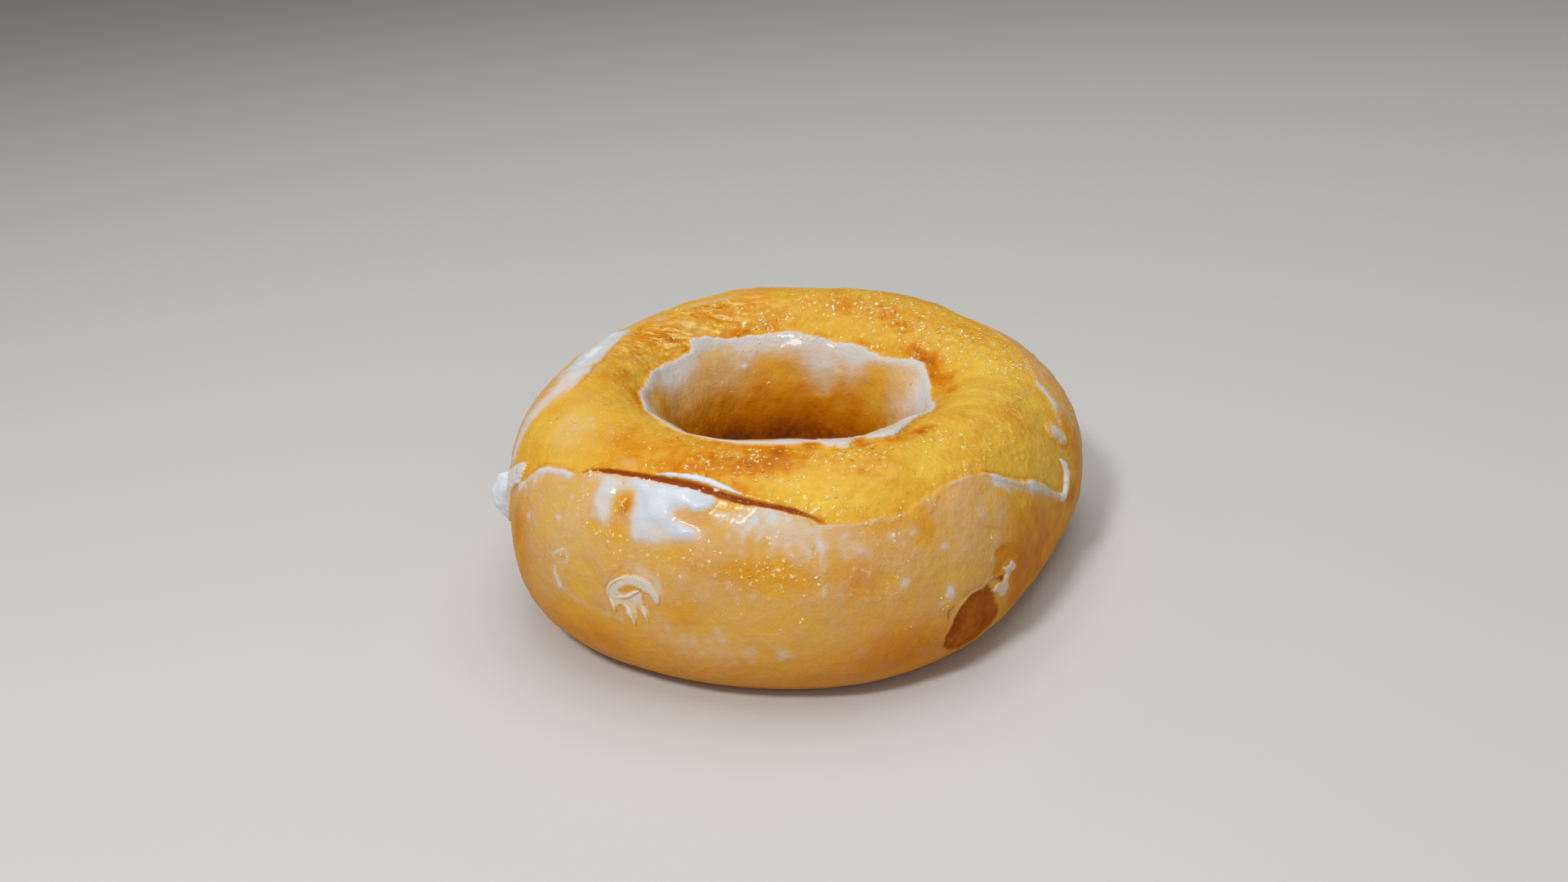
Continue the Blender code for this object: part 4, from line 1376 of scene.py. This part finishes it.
class DOUGHNUT_OT_stage(bpy.types.Operator):
    """Add the camera, the soft lights and the pale floor"""

    bl_idname = "doughnut.stage"
    bl_label = "Stage"

    # What the camera looks at, from the middle of the ring's grid
    TARGET = (-2.23 * MM, 0.0, 20.42 * MM)
    SENSOR_WIDTH = 36.0
    PICTURE_SHAPE = 1920 / 1080
    # Each light's name, width and place, and the place that they all face
    LIGHTS = (
        ("key", 0.10, (-0.22, -0.32, 0.50)), ("top", 0.70, (0.05, 0.10, 0.75)),
        ("fill", 0.50, (0.16, -0.62, 0.30)),
    )
    FACED = Vector((0, 0, 0.02))
    FLOOR_WIDTH = 6
    # The floor lies just under the doughnut's flat underside
    FLOOR_LEVEL = -0.1 * MM

    def execute(self, context):
        look = context.scene.doughnut_stage
        self.add_camera(context, look)
        for name, width, place in self.LIGHTS:
            light = bpy.data.objects.new(name, bpy.data.lights.new(name, "AREA"))
            light.data.energy = getattr(look, f"{name}_power")
            light.data.size = width
            light.location = place
            light.rotation_euler = (self.FACED - Vector(place)).to_track_quat("-Z", "Y").to_euler()
            context.scene.collection.objects.link(light)
        world = bpy.data.worlds.new("room")
        world.use_nodes = True
        world.node_tree.nodes["Background"].inputs["Color"].default_value = (1, 1, 1, 1)
        world.node_tree.nodes["Background"].inputs["Strength"].default_value = look.sky
        context.scene.world = world
        context.scene.view_settings.view_transform = "Standard"
        clear_selection()
        bpy.ops.mesh.primitive_plane_add(size=self.FLOOR_WIDTH, location=(0, 0, self.FLOOR_LEVEL))
        floor = context.object
        floor.data.transform(floor.matrix_world)
        floor.matrix_world = Matrix.Identity(4)
        floor.name = "floor"
        floor.data.materials.append(pale_floor())
        return {"FINISHED"}

    def add_camera(self, context, look):
        sine, cosine = math.sin(look.elevation), math.cos(look.elevation)
        ahead, up, right = Vector((0, cosine, -sine)), Vector((0, sine, cosine)), Vector((1, 0, 0))
        target = Vector(self.TARGET) + Vector((*GRID_CENTRE, 0))
        turned_right = right * math.cos(look.roll) - up * math.sin(look.roll)
        turned_up = right * math.sin(look.roll) + up * math.cos(look.roll)
        camera = bpy.data.objects.new("camera", bpy.data.cameras.new("camera"))
        camera.data.sensor_width = self.SENSOR_WIDTH
        camera.data.lens = self.SENSOR_WIDTH / (2 * math.tan(look.field / 2) * self.PICTURE_SHAPE)
        camera.data.clip_start = 0.01
        axes = Matrix((turned_right, turned_up, -ahead)).transposed().to_4x4()
        camera.matrix_world = Matrix.Translation(target - ahead * look.distance) @ axes
        context.scene.collection.objects.link(camera)
        context.scene.camera = camera


class DOUGHNUT_PT_panel(bpy.types.Panel):
    """Lists the doughnut's pieces and what can be changed"""

    bl_idname = "DOUGHNUT_PT_panel"
    bl_label = "Doughnut"
    bl_space_type = "VIEW_3D"
    bl_region_type = "UI"
    bl_category = "Doughnut"

    def draw(self, context):
        for piece in PIECES:
            self.layout.operator(piece.bl_idname)
        for group in GROUPS:
            box = self.layout.box()
            for name in GROUPS[group].__annotations__:
                box.prop(getattr(context.scene, group), name)


PIECES = (
    DOUGHNUT_OT_dough,
    DOUGHNUT_OT_front_film,
    DOUGHNUT_OT_hole_film,
    DOUGHNUT_OT_crescent,
    DOUGHNUT_OT_ledge,
    DOUGHNUT_OT_lip,
    DOUGHNUT_OT_flake,
    DOUGHNUT_OT_drip,
    DOUGHNUT_OT_curl,
    DOUGHNUT_OT_bubbles,
    DOUGHNUT_OT_stage,
)
GROUPS = {"doughnut_dough": DoughLook, "doughnut_glaze": GlazeSizes, "doughnut_stage": StageLook}


def register():
    for group, kind in GROUPS.items():
        bpy.utils.register_class(kind)
        setattr(bpy.types.Scene, group, bpy.props.PointerProperty(type=kind))
    for piece in (*PIECES, DOUGHNUT_PT_panel):
        bpy.utils.register_class(piece)


def unregister():
    for piece in reversed((*PIECES, DOUGHNUT_PT_panel)):
        bpy.utils.unregister_class(piece)
    for group, kind in reversed(GROUPS.items()):
        delattr(bpy.types.Scene, group)
        bpy.utils.unregister_class(kind)


def main():
    register()
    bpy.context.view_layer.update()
    for piece in PIECES:
        area, _, name = piece.bl_idname.partition(".")
        getattr(getattr(bpy.ops, area), name)()


if __name__ == "__main__":
    main()
